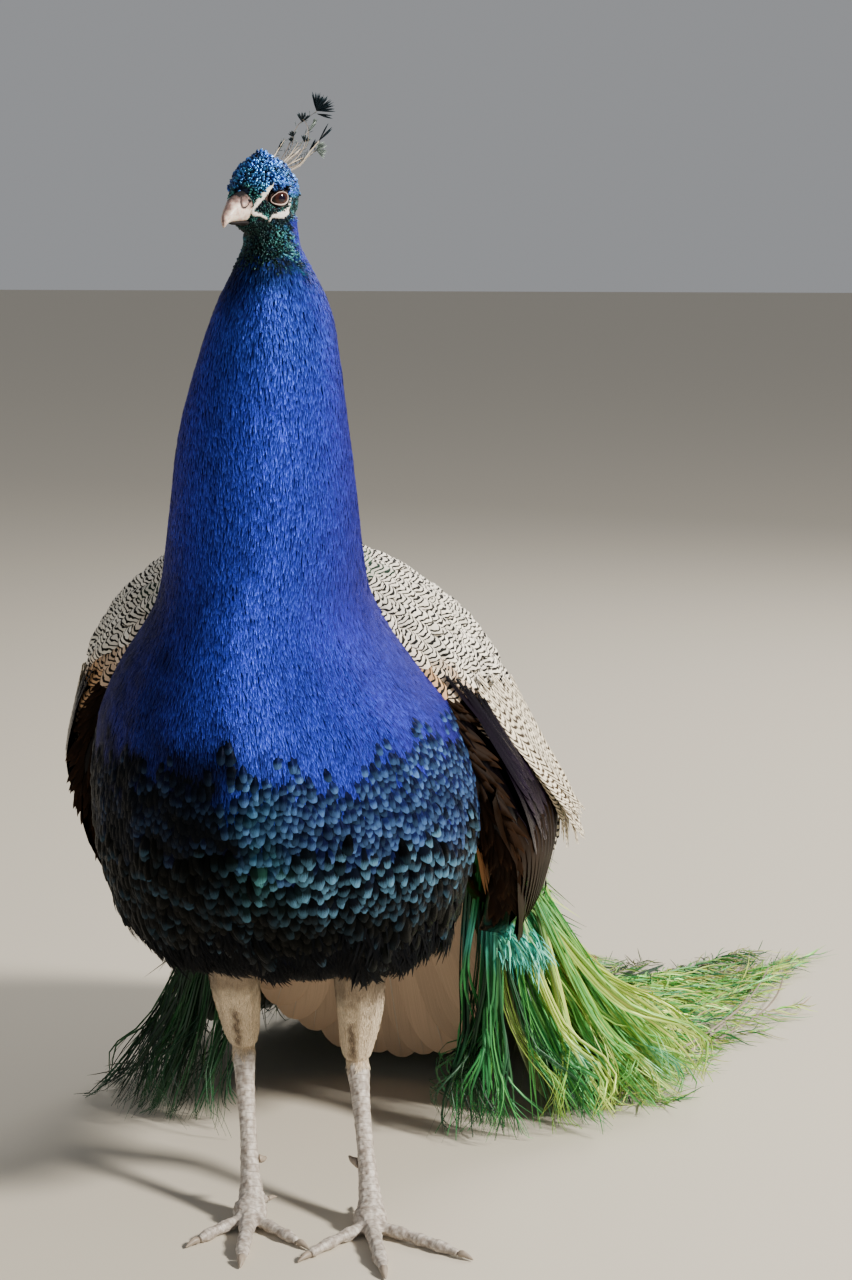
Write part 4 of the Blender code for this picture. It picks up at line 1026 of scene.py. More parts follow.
count = 520
angle = np.radians(random.uniform(-30, 33, count))[:, None]
start = random.uniform(0.02, 0.30, (count, 1)) ** 1.2
step = np.linspace(0, 1, 5)[None, :]
fanned = angle + random.normal(0, 0.10, (count, 1)) * step
before = 0.012 + 0.014 * random.random((count, 1)) * (0.4 + step)
paths = tail_points(fanned, start + 0.13 * step, before)
across = np.stack(np.broadcast_arrays(1.0, random.normal(0, 0.4, (count, 1)), 0 * step), -1)
shape = np.interp(step[0], (0, 0.4, 0.8, 1), (0.4, 1, 0.7, 0.1))
vanes_along(
    "tail_fluff", paths + FEET, across, random.uniform(0.0022, 0.0045, (count, 1)) * shape, dun_fluff,
    "tail_feather", columns=3, cup=0.3,
)

# Train: long loose feathers that hang from the rump to the floor and trail behind to the
# bird's left. Bronze-green scales cover their roots, most barbs hang free in green strands
# and a few feathers still carry their eye spots.
# Its upper side is told by seven lines from rump to tip, from the bird's right to its left
TRAIN_RUNS = [
    [(-0.100, 0.170, 0.330), (-0.126, 0.208, 0.235), (-0.168, 0.234, 0.125), (-0.216, 0.250, 0.036),
     (-0.252, 0.266, 0.012), (-0.284, 0.282, 0.009)],
    [(-0.090, 0.236, 0.400), (-0.140, 0.316, 0.285), (-0.170, 0.372, 0.155), (-0.186, 0.424, 0.046),
     (-0.192, 0.494, 0.013), (-0.178, 0.560, 0.009)],
    [(-0.010, 0.296, 0.440), (-0.013, 0.402, 0.335), (-0.006, 0.482, 0.195), (0.010, 0.545, 0.062),
     (0.042, 0.675, 0.015), (0.082, 0.800, 0.009)],
    [(0.036, 0.284, 0.434), (0.062, 0.388, 0.325), (0.088, 0.466, 0.185), (0.118, 0.532, 0.058),
     (0.192, 0.702, 0.015), (0.270, 0.868, 0.009)],
    [(0.072, 0.258, 0.415), (0.112, 0.345, 0.305), (0.152, 0.418, 0.170), (0.202, 0.472, 0.054),
     (0.322, 0.632, 0.015), (0.448, 0.800, 0.009)],
    [(0.088, 0.216, 0.380), (0.130, 0.272, 0.270), (0.172, 0.304, 0.150), (0.222, 0.332, 0.044),
     (0.284, 0.346, 0.013), (0.338, 0.352, 0.009)],
    [(0.082, 0.176, 0.325), (0.102, 0.198, 0.232), (0.136, 0.206, 0.130), (0.168, 0.214, 0.036),
     (0.190, 0.230, 0.012), (0.208, 0.242, 0.009)],
]
WAY_STEPS, RUN_STEPS = 40, 10
LAST_RUN = len(TRAIN_RUNS) - 1
runs = np.array([smooth_rows(run, WAY_STEPS + 1) for run in TRAIN_RUNS])
TRAIN = smooth_rows(runs.reshape(len(runs), -1), LAST_RUN * RUN_STEPS + 1).reshape(-1, WAY_STEPS + 1, 3)
TRAIN_UP = np.cross(np.gradient(TRAIN, axis=0), np.gradient(TRAIN, axis=1))
TRAIN_UP = unit(TRAIN_UP) * np.where(TRAIN_UP[:, :, 2:] < 0, -1, 1)


def on_train(run, way, lift):
    """Places over the train: which run line (0 to 6, its right to its left), the way down it
    (0 to 1) and how far over its upper side; none of them under the floor."""
    u, v = np.clip(run, 0, LAST_RUN) * RUN_STEPS, np.clip(way, 0, 1) * WAY_STEPS
    i, j = np.minimum(u.astype(int), len(TRAIN) - 2), np.minimum(v.astype(int), WAY_STEPS - 1)
    a, b = (u - i)[..., None], (v - j)[..., None]
    spots = []
    for grid in (TRAIN, TRAIN_UP):
        near_run = grid[i, j] * (1 - b) + grid[i, j + 1] * b
        next_run = grid[i + 1, j] * (1 - b) + grid[i + 1, j + 1] * b
        spots.append(near_run * (1 - a) + next_run * a)
    made = spots[0] + spots[1] * np.asarray(lift)[..., None]
    made[..., 2] = np.maximum(made[..., 2], 0.0015)
    return made


def across_train(run, way, lift):
    """The way across the train at such places, a tenth of a run line long."""
    return on_train(run + 0.1, way, lift) - on_train(run, way, lift)


def train_material(name, tones, metallic, roughness):
    """Loose barbs: each strand takes its own tone, turquoise where bright and black where marked
    dark, which on most strands is painted shade.
    """
    made, node, _, shader = new_look(name, roughness, Metallic=metallic)
    colour = ramp_of(node, mark_of(node, "tint"), tones)
    for mark, tone in (("bright", (0.05, 0.50, 0.45)), ("dark", (0.005, 0.012, 0.010))):
        colour = blended(node, mark_of(node, mark), colour, tone)
    made.node_tree.links.new(colour, shader.inputs["Base Color"])
    return made


barb_green = train_material("barb_green", (
    (0.0, (0.010, 0.08, 0.030)), (0.20, (0.025, 0.25, 0.06)), (0.42, (0.13, 0.50, 0.085)),
    (0.68, (0.42, 0.68, 0.11)), (0.92, (0.68, 0.76, 0.16)), (1.0, (0.30, 0.20, 0.10)),
), 0.25, 0.45)
quill_brown = train_material("quill_brown", (
    (0.0, (0.20, 0.15, 0.10)), (0.6, (0.42, 0.34, 0.26)), (1.0, (0.60, 0.52, 0.42)),
), 0.0, 0.5)
bronze_scale = feather_material(
    "bronze_scale", (0.004, 0.012, 0.008), (0.045, 0.15, 0.035), (0.12, 0.060, 0.014), metallic=0.6,
    roughness=0.34, ends=(0.4, 0.80), tone=0.7, barbs=14, slant=2.0,
)


def train_marks(run, way):
    """How turquoise and how dark strands are that start at a place on the train."""
    spot = np.stack([run, way], -1)
    bright = 0.8 * near(spot, (5.5, 0.27), (0.4, 0.03))
    # Painted shade: strands are dark on the bird's right side, away from the key light. They are darker too
    # high on the train's left runs and in a patch near the far end.
    dark = 0.95 * ease(2.2, 1.1, run) + 0.85 * ease(4.7, 5.2, run) * ease(0.85, 0.6, way)
    dark += 0.95 * near(spot, (3.2, 0.88), (0.55, 0.09))
    return bright, np.clip(dark, 0, 0.95)


# A layer of short barbs under the rest, so that no light falls through. They are marked dark:
# painted shade for the train's shaded underside.
random = np.random.default_rng(61)
UNDER_VANES, UNDER_LIFT = 56, -0.011
run = np.repeat(np.linspace(0.25, 5.75, UNDER_VANES)[:, None], 18, 1)
reach = 0.62 + 0.10 * ease(0.3, 1.6, run) + 0.16 * np.exp(-(((run - 3.2) / 0.5) ** 2))
way = np.linspace(0, 1, 18) * reach
under = on_train(run, way, UNDER_LIFT + 0.002 * random.random((UNDER_VANES, 1)))
across = on_train(run + 0.1, way, UNDER_LIFT) - under
half = np.linalg.norm(across, axis=2) * 0.75 * np.interp(np.linspace(0, 1, 18), (0, 0.85, 1), (1, 1, 0.1))
train_solids = [f"train_{part}_{length}" for part in ("left", "middle", "right", "side")
                for length in ("drape", "tips")]
vanes_along(
    "train_under", under + FEET, across, half, barb_green, "train_feather", columns=3, cup=-0.1,
    marks=(("dark", np.full(UNDER_VANES, 0.92)),), replaced=train_solids,
)

# The quills, of which many lie where the train is thickest
QUILL_START = 0.08
count = 150
thick = random.random(count) < 0.4
first = np.where(thick, random.uniform(3.2, 4.9, count), random.uniform(0.15, 5.5, count))[:, None]
reach = np.clip(random.beta(3.5, 1.6, count), 0.45, 1)[:, None]
step = np.linspace(0, 1, 22)[None, :]
stray = random.normal(0, 0.16, (count, 1)) * step**1.5
run = first + stray + 0.06 * np.sin(step * 7 + 9 * random.random((count, 1))) * step
way = QUILL_START + (reach - QUILL_START) * step
lift = -0.009 + 0.009 * random.random((count, 1)) + 0.004 * np.sin(step * 5 + 6 * random.random((count, 1)))
quills = on_train(run, way, lift)
across = unit(across_train(run, way, lift))
bright, dark = train_marks(run, way)
half = np.tile(np.interp(step, (0, 1), (0.0016, 0.0004)), (count, 1))
vanes_along(
    "train_quills", quills + FEET, across, half, quill_brown, "train_feather", columns=3, cup=-0.9,
    marks=(("dark", dark * 0.6), ("bright", bright * 0.3)),
)


def barbs(name, chosen, pitch, length, width, curl, seed):
    """The barbs of some quills, left and right of them, as one piece."""
    random = np.random.default_rng(seed)
    paths, ways, widths, marks = [], [], [], []
    for k in chosen:
        spine = quills[k]
        reach = np.concatenate([[0], np.cumsum(np.linalg.norm(np.diff(spine, axis=0), axis=1))])
        spots = np.arange(0.10 * reach[-1], reach[-1], pitch)
        spots = np.repeat(spots, 2) + random.uniform(-0.4, 0.4, 2 * len(spots)) * pitch
        count = len(spots)

        def at_spots(values):
            return np.stack([np.interp(spots, reach, column) for column in values.T], 1)

        hand = np.tile((-1.0, 1.0), count // 2)[:, None]
        along = at_spots(np.gradient(spine, axis=0) * (len(spine) - 1) / reach[-1])
        toward = along * 0.85 + at_spots(across[k]) * hand * 0.55 + random.normal(0, 0.17, (count, 3))
        toward[:, 2] += 0.10
        toward = unit(toward)
        long = length * random.uniform(0.55, 1.35, count)
        long = (long * np.interp(spots / reach[-1], (0, 0.25, 0.85, 1), (0.5, 1, 1, 0.6)))[:, None, None]
        v = np.linspace(0, 1, 6)[None, :, None]
        sway = random.normal(0, curl, (count, 3))[:, None] * long
        path = at_spots(spine)[:, None] + toward[:, None] * long * v + sway * v**2
        path[:, :, 2] -= 0.38 * long[:, :, 0] * v[:, :, 0] ** 2
        path[:, :, 2] = np.maximum(path[:, :, 2], 0.0008 + 0.010 * random.random((count, 1)) * v[:, :, 0])
        paths.append(path)
        ways.append(np.broadcast_to(np.cross(toward, random.normal(0, 1, (count, 3)))[:, None], path.shape))
        widths.append(width * random.uniform(0.7, 1.3, (count, 1)) * np.array((0.7, 1, 1, 0.9, 0.6, 0.15)))
        marks.append(at_spots(np.stack([bright[k], dark[k]], 1)))
    marks = np.concatenate(marks)
    vanes_along(
        name, np.concatenate(paths) + FEET, np.concatenate(ways), np.concatenate(widths), barb_green,
        "train_feather", columns=2, cup=0, marks=(("bright", marks[:, 0]), ("dark", marks[:, 1])),
    )


order = np.argsort(first[:, 0])
for part in range(4):
    chosen = order[part * count // 4 : (part + 1) * count // 4]
    barbs(
        f"train_barbs_{part + 1}", chosen, pitch=0.0055, length=0.046, width=0.0007, curl=0.16,
        seed=62 + part,
    )

# Long loose strands hang from under each wing to the floor, where many of them curl
ROOTS = {
    "left": [(0.124, 0.215, 0.285), (0.126, 0.222, 0.250), (0.133, 0.235, 0.230), (0.146, 0.258, 0.222),
             (0.158, 0.285, 0.230)],
    "right": [(-0.094, 0.185, 0.290), (-0.106, 0.195, 0.280), (-0.122, 0.215, 0.270), (-0.130, 0.240, 0.270)],
    "gold": [(0.128, 0.262, 0.235), (0.140, 0.285, 0.225), (0.152, 0.315, 0.215)],
}
ENDS = {
    "left": [(0.082, 0.203), (0.108, 0.197), (0.145, 0.194), (0.190, 0.222), (0.240, 0.262), (0.285, 0.315),
             (0.315, 0.375)],
    "right": [(-0.128, 0.198), (-0.160, 0.196), (-0.195, 0.202), (-0.235, 0.224), (-0.270, 0.262)],
    "gold": [(0.220, 0.285), (0.262, 0.330), (0.290, 0.390), (0.270, 0.460)],
}


def hung(name, key, shares, each, spread, thick, curl, seed, tints, dark):
    """Locks of strands from a line of roots to a line of ends on the floor: the locks' shares
    of the way along both, how many strands each has, and how many of them curl at the end."""
    random = np.random.default_rng(seed)

    def vary(low, high, loose, width=1):
        """A number for each lock, a little different for each of its strands."""
        lock = np.repeat(random.uniform(low, high, (len(shares), 1, width)), each, axis=0)
        return lock + (high - low) * loose * random.uniform(-0.5, 0.5, (len(lock), 1, width))

    count = len(shares) * each
    share = np.repeat(np.clip(shares, 0, 1), each)
    root_share = np.clip(share + vary(-0.2, 0.2, 0.2)[:, 0, 0], 0, 1)
    roots = smooth_rows(ROOTS[key], 101)[(root_share * 100).astype(int)][:, None]
    roots = roots + vary(-0.014, 0.014, 0.22, 3)
    ends = smooth_rows(ENDS[key], 101)[(share * 100).astype(int)][:, None]
    ends = np.concatenate([ends + vary(-spread, spread, 0.3, 2), vary(0.002, 0.012, 0.5)], 2)
    t = np.linspace(0, 1, 15)[None, :, None]
    way = ends - roots
    bend = vary(0.25, 0.60, 0.2)
    knee = roots + way * np.concatenate([bend, bend, vary(0.52, 0.78, 0.2)], 2)
    path = roots * (1 - t) ** 2 + knee * 2 * t * (1 - t) + ends * t**2
    path += np.sin(t * vary(3, 8, 0.15) + vary(0, 6.3, 0.12, 3)) * t * vary(0.003, 0.018, 0.35)
    size = vary(0.006, 0.022, 0.3) * (random.random((count, 1, 1)) < curl)
    whirl = np.clip(t - 0.62, 0, 1) / 0.38 * vary(2.0, 5.0, 0.2) * np.sign(vary(-1, 1, 0.1))
    flat = unit(way[:, :, :2])
    aside = np.stack([-flat[..., 1], flat[..., 0]], -1)
    path[:, :, :2] += size * (np.sin(np.abs(whirl)) * flat + np.sign(whirl) * (1 - np.cos(whirl)) * aside)
    path[:, :, 2:] += size * 0.5 * np.sin(np.abs(whirl) * 0.5)
    path[:, :, 2] = np.maximum(path[:, :, 2], 0.0012 + 0.004 * random.random((count, 1)))
    bright = near(path[..., [0, 2]], (0.120, 0.192), (0.045, 0.015))
    for spot in ((0.215, 0.262, 0.062), (0.285, 0.310, 0.040)):
        bright = np.maximum(bright, 0.85 * near(path, spot, 0.016))
    # Painted shade: some locks are dark, by their share along the line of roots.
    is_dark = vary(0, 1, 0.2)[:, 0] < np.interp(share, (0, 0.4, 1), dark)[:, None]
    shade = np.where(is_dark, vary(0.55, 0.95, 0.2)[:, 0], vary(0, 0.3, 0.5)[:, 0])
    across = np.cross(np.gradient(path, axis=1), random.normal(0, 1, (count, 1, 3)) + (0.6, -0.8, 0))
    half = thick * vary(0.55, 1.45, 0.6)[:, 0]
    half = half * np.interp(t[0, :, 0], (0, 0.1, 0.75, 1), (0.6, 1, 0.85, 0.25))
    low, high = (np.interp(share, np.linspace(0, 1, len(tints)), column) for column in np.transpose(tints))
    tint = low + (high - low) * np.clip(vary(0, 1, 0.5)[:, 0, 0], 0, 1)
    vanes_along(
        name, path + FEET, across, half, barb_green, "train_feather", columns=3, cup=-0.4,
        marks=(("tint", tint), ("bright", bright), ("dark", shade)),
    )


random = np.random.default_rng(64)
left_locks = np.concatenate([random.uniform(0, 0.30, 8), random.uniform(0.24, 1, 36)])
# Painted shade: on the bird's left, most locks at the front are dark.
hung(
    "train_strands_left", "left", left_locks, each=10, spread=0.022, thick=0.00090, curl=0.55, seed=65,
    tints=((0.0, 0.30), (0.05, 0.55), (0.25, 0.85), (0.38, 0.97)), dark=(0.8, 0.25, -0.2),
)
hung(
    "train_strands_gold", "gold", random.uniform(0, 1, 34), each=11, spread=0.032, thick=0.00085,
    curl=0.50, seed=66, tints=((0.40, 0.90), (0.60, 0.95)), dark=(0, 0, 0),
)
# Painted shade: every lock on the bird's right side is dark, away from the key light.
hung(
    "train_strands_right", "right", random.uniform(0, 1, 30) ** 2, each=9, spread=0.012, thick=0.00070,
    curl=0.25, seed=67, tints=((0.0, 0.25), (0.0, 0.3)), dark=(2, 2, 2),
)

# A band of short turquoise barbs lies over the strands just under the wing
BAND_BARBS = 320
share = random.random((BAND_BARBS, 1, 1))
t = np.linspace(0, 1, 6)[None, :, None]
band = np.array((0.132, 0.218, 0.194)) * (1 - share) + np.array((0.168, 0.248, 0.172)) * share
band = band + random.normal(0, (0.004, 0.006, 0.006), (BAND_BARBS, 1, 3))
band = band + t * ((0.010, -0.012, -0.004) + random.normal(0, 0.006, (BAND_BARBS, 1, 3)))
band = band - (0, 0, 0.016) * t**2 * random.uniform(0.5, 1.2, (BAND_BARBS, 1, 1))
across = np.cross(np.gradient(band, axis=1), random.normal(0, 1, (BAND_BARBS, 1, 3)))
half = np.tile(0.0010 * np.interp(t[..., 0], (0, 0.6, 1), (0.7, 1, 0.2)), (BAND_BARBS, 1))
vanes_along(
    "train_band", band + FEET, across, half, barb_green, "train_feather", columns=3, cup=-0.4,
    marks=(("bright", random.uniform(0.6, 1, BAND_BARBS)),),
)

# Scale-like coverts over the roots, darker on the bird's right side: painted shade.
COVERT_LIFT = 0.004
count = 900
first = random.uniform(0.1, 5.9, (count, 1))
start = (0.34 - 0.20 * ease(4.2, 4.9, first)) * random.random((count, 1)) ** 0.8
step = np.linspace(0, 1, 7)[None, :]
run, way = first + random.normal(0, 0.05, (count, 1)) * step, start + (0.09 + 0.10 * start) * step
coverts = on_train(run, way, COVERT_LIFT + 0.010 * step * random.uniform(0.3, 1.0, (count, 1)))
across = across_train(run, way, COVERT_LIFT)
shape = np.interp(step, (0, 0.3, 0.75, 0.92, 1), (0.4, 0.9, 1.0, 0.7, 0.15))
vanes_along(
    "train_coverts", coverts + FEET, across, (0.0095 + 0.012 * start) * shape, bronze_scale,
    "train_feather", columns=5, cup=-0.15, marks=(("dark", 0.5 * ease(2.2, 0.8, first)),),
)

# Eye spots: a blue-black heart in turquoise, bronze and gold-green rings
spot_look, node, maths, shader = new_look("eye_spot", 0.32, Metallic=0.45)
spot = on_vane(node)
lengthwise = maths("MULTIPLY_ADD", spot[1], 2.0, -1.0)
bow = maths("SQRT", maths("MAXIMUM", maths("SUBTRACT", 1.0, maths("MULTIPLY", lengthwise, lengthwise)), 0.0))
sideways = maths("MULTIPLY", maths("MULTIPLY_ADD", spot[0], 2.0, -1.0), bow)
shifted = maths("SUBTRACT", lengthwise, 0.12)
radius = maths("ADD", maths("MULTIPLY", shifted, shifted), maths("MULTIPLY", sideways, sideways))
radius = maths("SQRT", radius)
ring_tones = (
    (0.0, (0.004, 0.004, 0.05)), (0.27, (0.006, 0.006, 0.09)), (0.33, (0.010, 0.26, 0.42)),
    (0.48, (0.015, 0.34, 0.38)), (0.56, (0.22, 0.10, 0.020)), (0.74, (0.20, 0.11, 0.025)),
    (0.80, (0.26, 0.36, 0.05)), (0.95, (0.05, 0.22, 0.05)),
)
off = maths("ABSOLUTE", maths("SUBTRACT", spot[0], 0.5))
lines = maths("SINE", maths("MULTIPLY", maths("SUBTRACT", spot[1], off), 160.0))
finish_look(shader, node, ramp_of(node, radius, ring_tones), lines, 0.3, 0.0004)
SPOT_LIFT, SPOT_LENGTH, SPOT_RAYS = 0.006, 0.036, 84
TRAIN_LENGTH = 0.72
places = np.array([(2.9, 0.80), (3.55, 0.62), (2.6, 0.72), (1.8, 0.56), (3.1, 0.46), (4.6, 0.50),
                   (2.3, 0.42), (1.1, 0.62), (0.6, 0.46), (3.9, 0.38), (1.5, 0.38)])
step = np.linspace(0, 1, 11)[None, :]
size = random.uniform(0.85, 1.15, (len(places), 1))
run, way = np.tile(places[:, :1], 11), np.tile(places[:, 1:], 11)
reach = SPOT_LENGTH * size / TRAIN_LENGTH
spots = on_train(run, np.clip(way + reach * (step - 0.5), 0, 1), SPOT_LIFT + 0.003 * step)
across = across_train(run, way, SPOT_LIFT)
half = 0.0150 * size * np.sqrt(np.maximum(1 - (2 * step - 1) ** 2, 0.01))
vanes_along("train_eye_spots", spots + FEET, across, half, spot_look, "train_feather", columns=9, cup=-0.12)
middle, side, ahead = (values[:, 5:6] for values in (spots, unit(across), unit(np.gradient(spots, axis=1))))
turn = np.linspace(0, math.tau, SPOT_RAYS, endpoint=False)[None, :, None]
turn = turn + random.normal(0, 0.03, (len(places), SPOT_RAYS, 1))
out = side * np.sin(turn) * 0.8 + ahead * np.cos(turn)
t = np.linspace(0, 1, 5)[None, None, :, None]
long = random.uniform(0.016, 0.034, (len(places), SPOT_RAYS, 1, 1))
rays = middle[:, None] + out[:, :, None] * (0.012 + long * t) + ahead[:, None] * 0.010 * t - (0, 0, 0.0012)
rays[..., 2] = np.maximum(rays[..., 2] - 0.005 * t[..., 0] ** 2, 0.001)
ways = np.broadcast_to(np.cross(out, (0, 0, 1))[:, :, None], rays.shape)
half = np.tile(np.array((1, 1, 0.9, 0.7, 0.15)) * 0.0007, (len(places) * SPOT_RAYS, 1))
vanes_along(
    "train_spot_barbs", rays.reshape(-1, 5, 3) + FEET, ways.reshape(-1, 5, 3), half, barb_green,
    "train_feather", columns=2,
)

# Three bare brown quills lie loose at the end
t = np.linspace(0, 1, 12)[None, :, None]
starts = np.array([(0.296, 0.425, 0.016), (0.306, 0.440, 0.010), (0.320, 0.470, 0.006)])[:, None]
ends = np.array([(0.385, 0.735, 0.012), (0.372, 0.700, 0.006), (0.402, 0.720, 0.008)])[:, None]
bowed = np.sin(math.pi * t) * (0.016, -0.010, 0.004) * np.array((1, 0.6, 1.3))[:, None, None]
bare = starts * (1 - t) + ends * t + bowed
half = np.tile(np.interp(t[..., 0], (0, 1), (0.0018, 0.0008)), (3, 1))
vanes_along(
    "train_bare_quills", bare + FEET, np.broadcast_to((1.0, -0.3, 0.0), bare.shape), half, quill_brown,
    "train_feather", columns=3, cup=-0.9, marks=(("tint", (0.2, 0.4, 0.1)),),
)

# Head: bare white skin before, under and behind the eye, a lid round each eye, and the rest
# covered in tiny curled feathers like beads, blue on the crown and blue-green on face and throat.
def near_line(points, line):
    """1 on a line of (forward, left, up, half width) places, falling to 0 at twice its width."""
    best = np.full(len(points), 9.0)
    for start, end in zip(line, line[1:]):
        a, b = np.array(start[:3]), np.array(end[:3])
        share = np.clip(((points - a) @ (b - a)) / ((b - a) @ (b - a)), 0, 1)
        gap = np.linalg.norm(points - (a + share[:, None] * (b - a)), axis=1)
        best = np.minimum(best, gap / (start[3] + share * (end[3] - start[3])))
    return 1 - ease(0.85, 1.25, best + 0.22 * waves(points, 0.0035, 77))


WHITE_STRIPE = [(0.0305, 0.0108, -0.0025, 0.0015), (0.0226, 0.0160, 0.0062, 0.0020),
                (0.0130, 0.0196, 0.0150, 0.0013)]
WHITE_CRESCENT = [
    (0.0166, 0.0158, -0.0148, 0.0005), (0.0158, 0.0184, -0.0105, 0.0012), (0.0120, 0.0198, -0.0100, 0.0020),
    (0.0050, 0.0210, -0.0096, 0.0026), (-0.0022, 0.0216, -0.0080, 0.0023), (-0.0052, 0.0222, -0.0040, 0.0014),
    (-0.0058, 0.0229, 0.0020, 0.0011), (-0.0062, 0.0229, 0.0088, 0.0009),
]
GAPE = [(0.0285, 0.0122, -0.0108, 0.0011), (0.0255, 0.0135, -0.0114, 0.0013),
        (0.0210, 0.0155, -0.0138, 0.0010)]
HORN_RIM = [(0.0320, 0.0100, -0.0060, 0.0019), (0.0255, 0.0138, -0.0080, 0.0012),
            (0.0192, 0.0166, -0.0120, 0.0006)]
EYE_MIDDLE, EYE_BALL = np.array((0.0052, 0.0170, 0.0028)), 0.0085
EYE_AXIS = unit(np.array((0.50, 0.865, 0.03)))
EYE_ALONG = unit(np.cross((0, 0, 1), EYE_AXIS))
EYE_UP = np.cross(EYE_AXIS, EYE_ALONG)
OPENING = (0.0062, 0.0046)
HEAD_FOOT = 0.805


def corner(turn):
    """How far the eye's front corner draws the opening out."""
    return 1 + 0.16 * np.maximum(0, -np.cos(turn)) ** 3


def eye_ring(turn, scale):
    """A place on the lid's edge, told from the eye's middle: back and up."""
    back = OPENING[0] * scale * corner(turn) * math.cos(turn)
    rise = math.sin(turn)
    up = OPENING[1] * scale * (rise**0.8 if rise > 0 else rise)
    return back, up - 0.0010 * max(0.0, -math.cos(turn)) ** 2


head_mesh = remeshed(("head", "neck_upper"), voxel=0.0012, smoothings=22, over=FEET[2] + HEAD_FOOT)
head_points, head_normals = numbers(head_mesh)
told = (head_points - HEAD_CENTRE) @ HEAD
mirror = np.where(told[:, 1] < 0, -1.0, 1.0)
told[:, 1] *= mirror
forward, left, up = told.T
white = np.maximum(near_line(told, WHITE_STRIPE), near_line(told, WHITE_CRESCENT))
horn_rim = near_line(told, HORN_RIM)
gape = near_line(told, GAPE)
from_eye = told - EYE_MIDDLE
out, back, over = from_eye @ EYE_AXIS, from_eye @ EYE_ALONG, from_eye @ EYE_UP
turn = np.arctan2(over + 0.0008 * np.where(back < 0, 1, 0), back)
reach = np.hypot(back / (OPENING[0] * corner(turn)), over / OPENING[1])
reach = np.where(out > -0.004, reach, 9)
depth = 0.0012 + 0.0012 * ease(-0.010, -0.022, up)
depth *= (1 - np.maximum(np.maximum(white, horn_rim), ease(2.0, 1.2, reach)))
depth -= 0.0008 * horn_rim + 0.0028 * near(told, (-0.002, 0.002, 0.0350), 0.0042)
local_normals = head_normals @ HEAD
local_normals[:, 1] *= mirror
told -= local_normals * depth[:, None]
brow = near(np.stack([back, over], 1), (0, 0.0072), (0.0075, 0.0018)) * (out > 0)
lores = near(told, (0.0235, 0.0165, -0.0020), (0.0045, 0.0060, 0.0050))
told += local_normals * (0.0009 * brow - 0.0010 * lores)[:, None]
radial = np.hypot(back, over)
ball = np.sqrt(np.maximum(EYE_BALL**2 - radial**2, 0.0000001))
rim = np.where(reach < 1.0, 0.0045, ball + 0.0006)
share = ease(1.9, 1.12, reach)
lid_points = EYE_MIDDLE + EYE_AXIS * rim[:, None] + EYE_ALONG * back[:, None] + EYE_UP * over[:, None]
told = told * (1 - share[:, None]) + lid_points * share[:, None]
creases = np.sin(reach * 24 + 2 * np.sin(turn * 2)) * ease(1.15, 1.3, reach) * ease(2.2, 1.7, reach)
told += EYE_AXIS * (creases * (0.00022 + 0.00022 * (over > 0.002)))[:, None]
told[:, 1] *= mirror
move_points(head_mesh, told @ HEAD.T + HEAD_CENTRE)
head_mesh.update()
before = near(told, (0.0175, 0.0190, 0.0050), (0.0050, 0.0060, 0.0045))
bare = np.maximum(np.maximum(white, horn_rim), np.maximum(ease(1.62, 1.42, reach), ease(0.45, 0.60, before)))
feathered = (1 - np.maximum(bare, gape)) * ease(0.0335, 0.0300, forward)
over_face = up - 0.004 - 0.35 * np.maximum(forward - 0.012, 0)
on_crown = ease(-0.004, 0.004, over_face) * ease(0.050, 0.030, forward - up)
put(head_mesh, "crown", feathered * on_crown)
low = up + 0.004 * np.sin(forward * 700) * np.cos(left * 600)
behind = ease(0.002, -0.006, forward + 0.003 * np.sin(up * 900)) * ease(-0.010, -0.016, low)
put(head_mesh, "face", feathered * (1 - on_crown) * ease(-0.052, -0.036, low) * (1 - behind))
put(head_mesh, "nape", feathered * (1 - on_crown) * np.maximum(ease(-0.030, -0.046, low), behind))
put(head_mesh, "white", np.maximum(white, horn_rim))
put(head_mesh, "lid", np.maximum(ease(1.9, 1.6, reach), ease(0.3, 0.5, before)) * (1 - white))
put(head_mesh, "line", np.maximum(gape, ease(1.16, 1.20, reach) * ease(1.32, 1.26, reach)))
flecks = waves(told, 0.007, 74)
green = ease(0.010, 0.032, forward) * 0.6 + (1 - on_crown) * (0.95 - behind) + 0.30 * flecks
put(head_mesh, "green", np.clip(green, 0, 1))
throat = ease(0.002, 0.018, forward) * ease(-0.008, -0.014, up)
shade = 0.55 * (1 - on_crown) * (1 - behind) + 0.55 * waves(told, 0.009, 75)
put(head_mesh, "dark", np.clip(np.maximum(shade, 0.90 * throat), 0, 0.95))
tuft = near(told, (-0.0120, 0.0220, -0.0090), 0.0045)
grow = 0.72 + 0.22 * waves(told, 0.004, 76) + 0.38 * ease(0.030, 0.005, forward) * on_crown
put(head_mesh, "grow", grow + 0.25 * ease(-0.01, -0.03, up) + 0.3 * tuft)
flow = np.stack([-np.ones(len(told)), 0 * up, -0.35 - 0.9 * (1 - on_crown)], 1) @ HEAD.T
put(head_mesh, "lie", flow, "FLOAT_VECTOR")

face_look, node, maths, shader = new_look("face", 0.75, Subsurface_Weight=0.05, Specular_IOR_Level=0.08)
grain = noise_of(node, 900.0, 3.0)
colour = (0.004, 0.008, 0.02)
for mark, tone in (("white", (0.80, 0.74, 0.68)), ("lid", (0.050, 0.030, 0.027)),
                   ("line", (0.012, 0.009, 0.008))):
    colour = blended(node, mark_of(node, mark), colour, tone)
shade = maths("MULTIPLY_ADD", grain, 1.1, 0.42)
mixed_tone = node("ShaderNodeHueSaturation", ("Color", colour), ("Value", shade))
finish_look(shader, node, mixed_tone.outputs[0], grain, 0.5, 0.0004)
head_mesh.materials.append(face_look)
head_hide = object_of("head_hide", head_mesh)

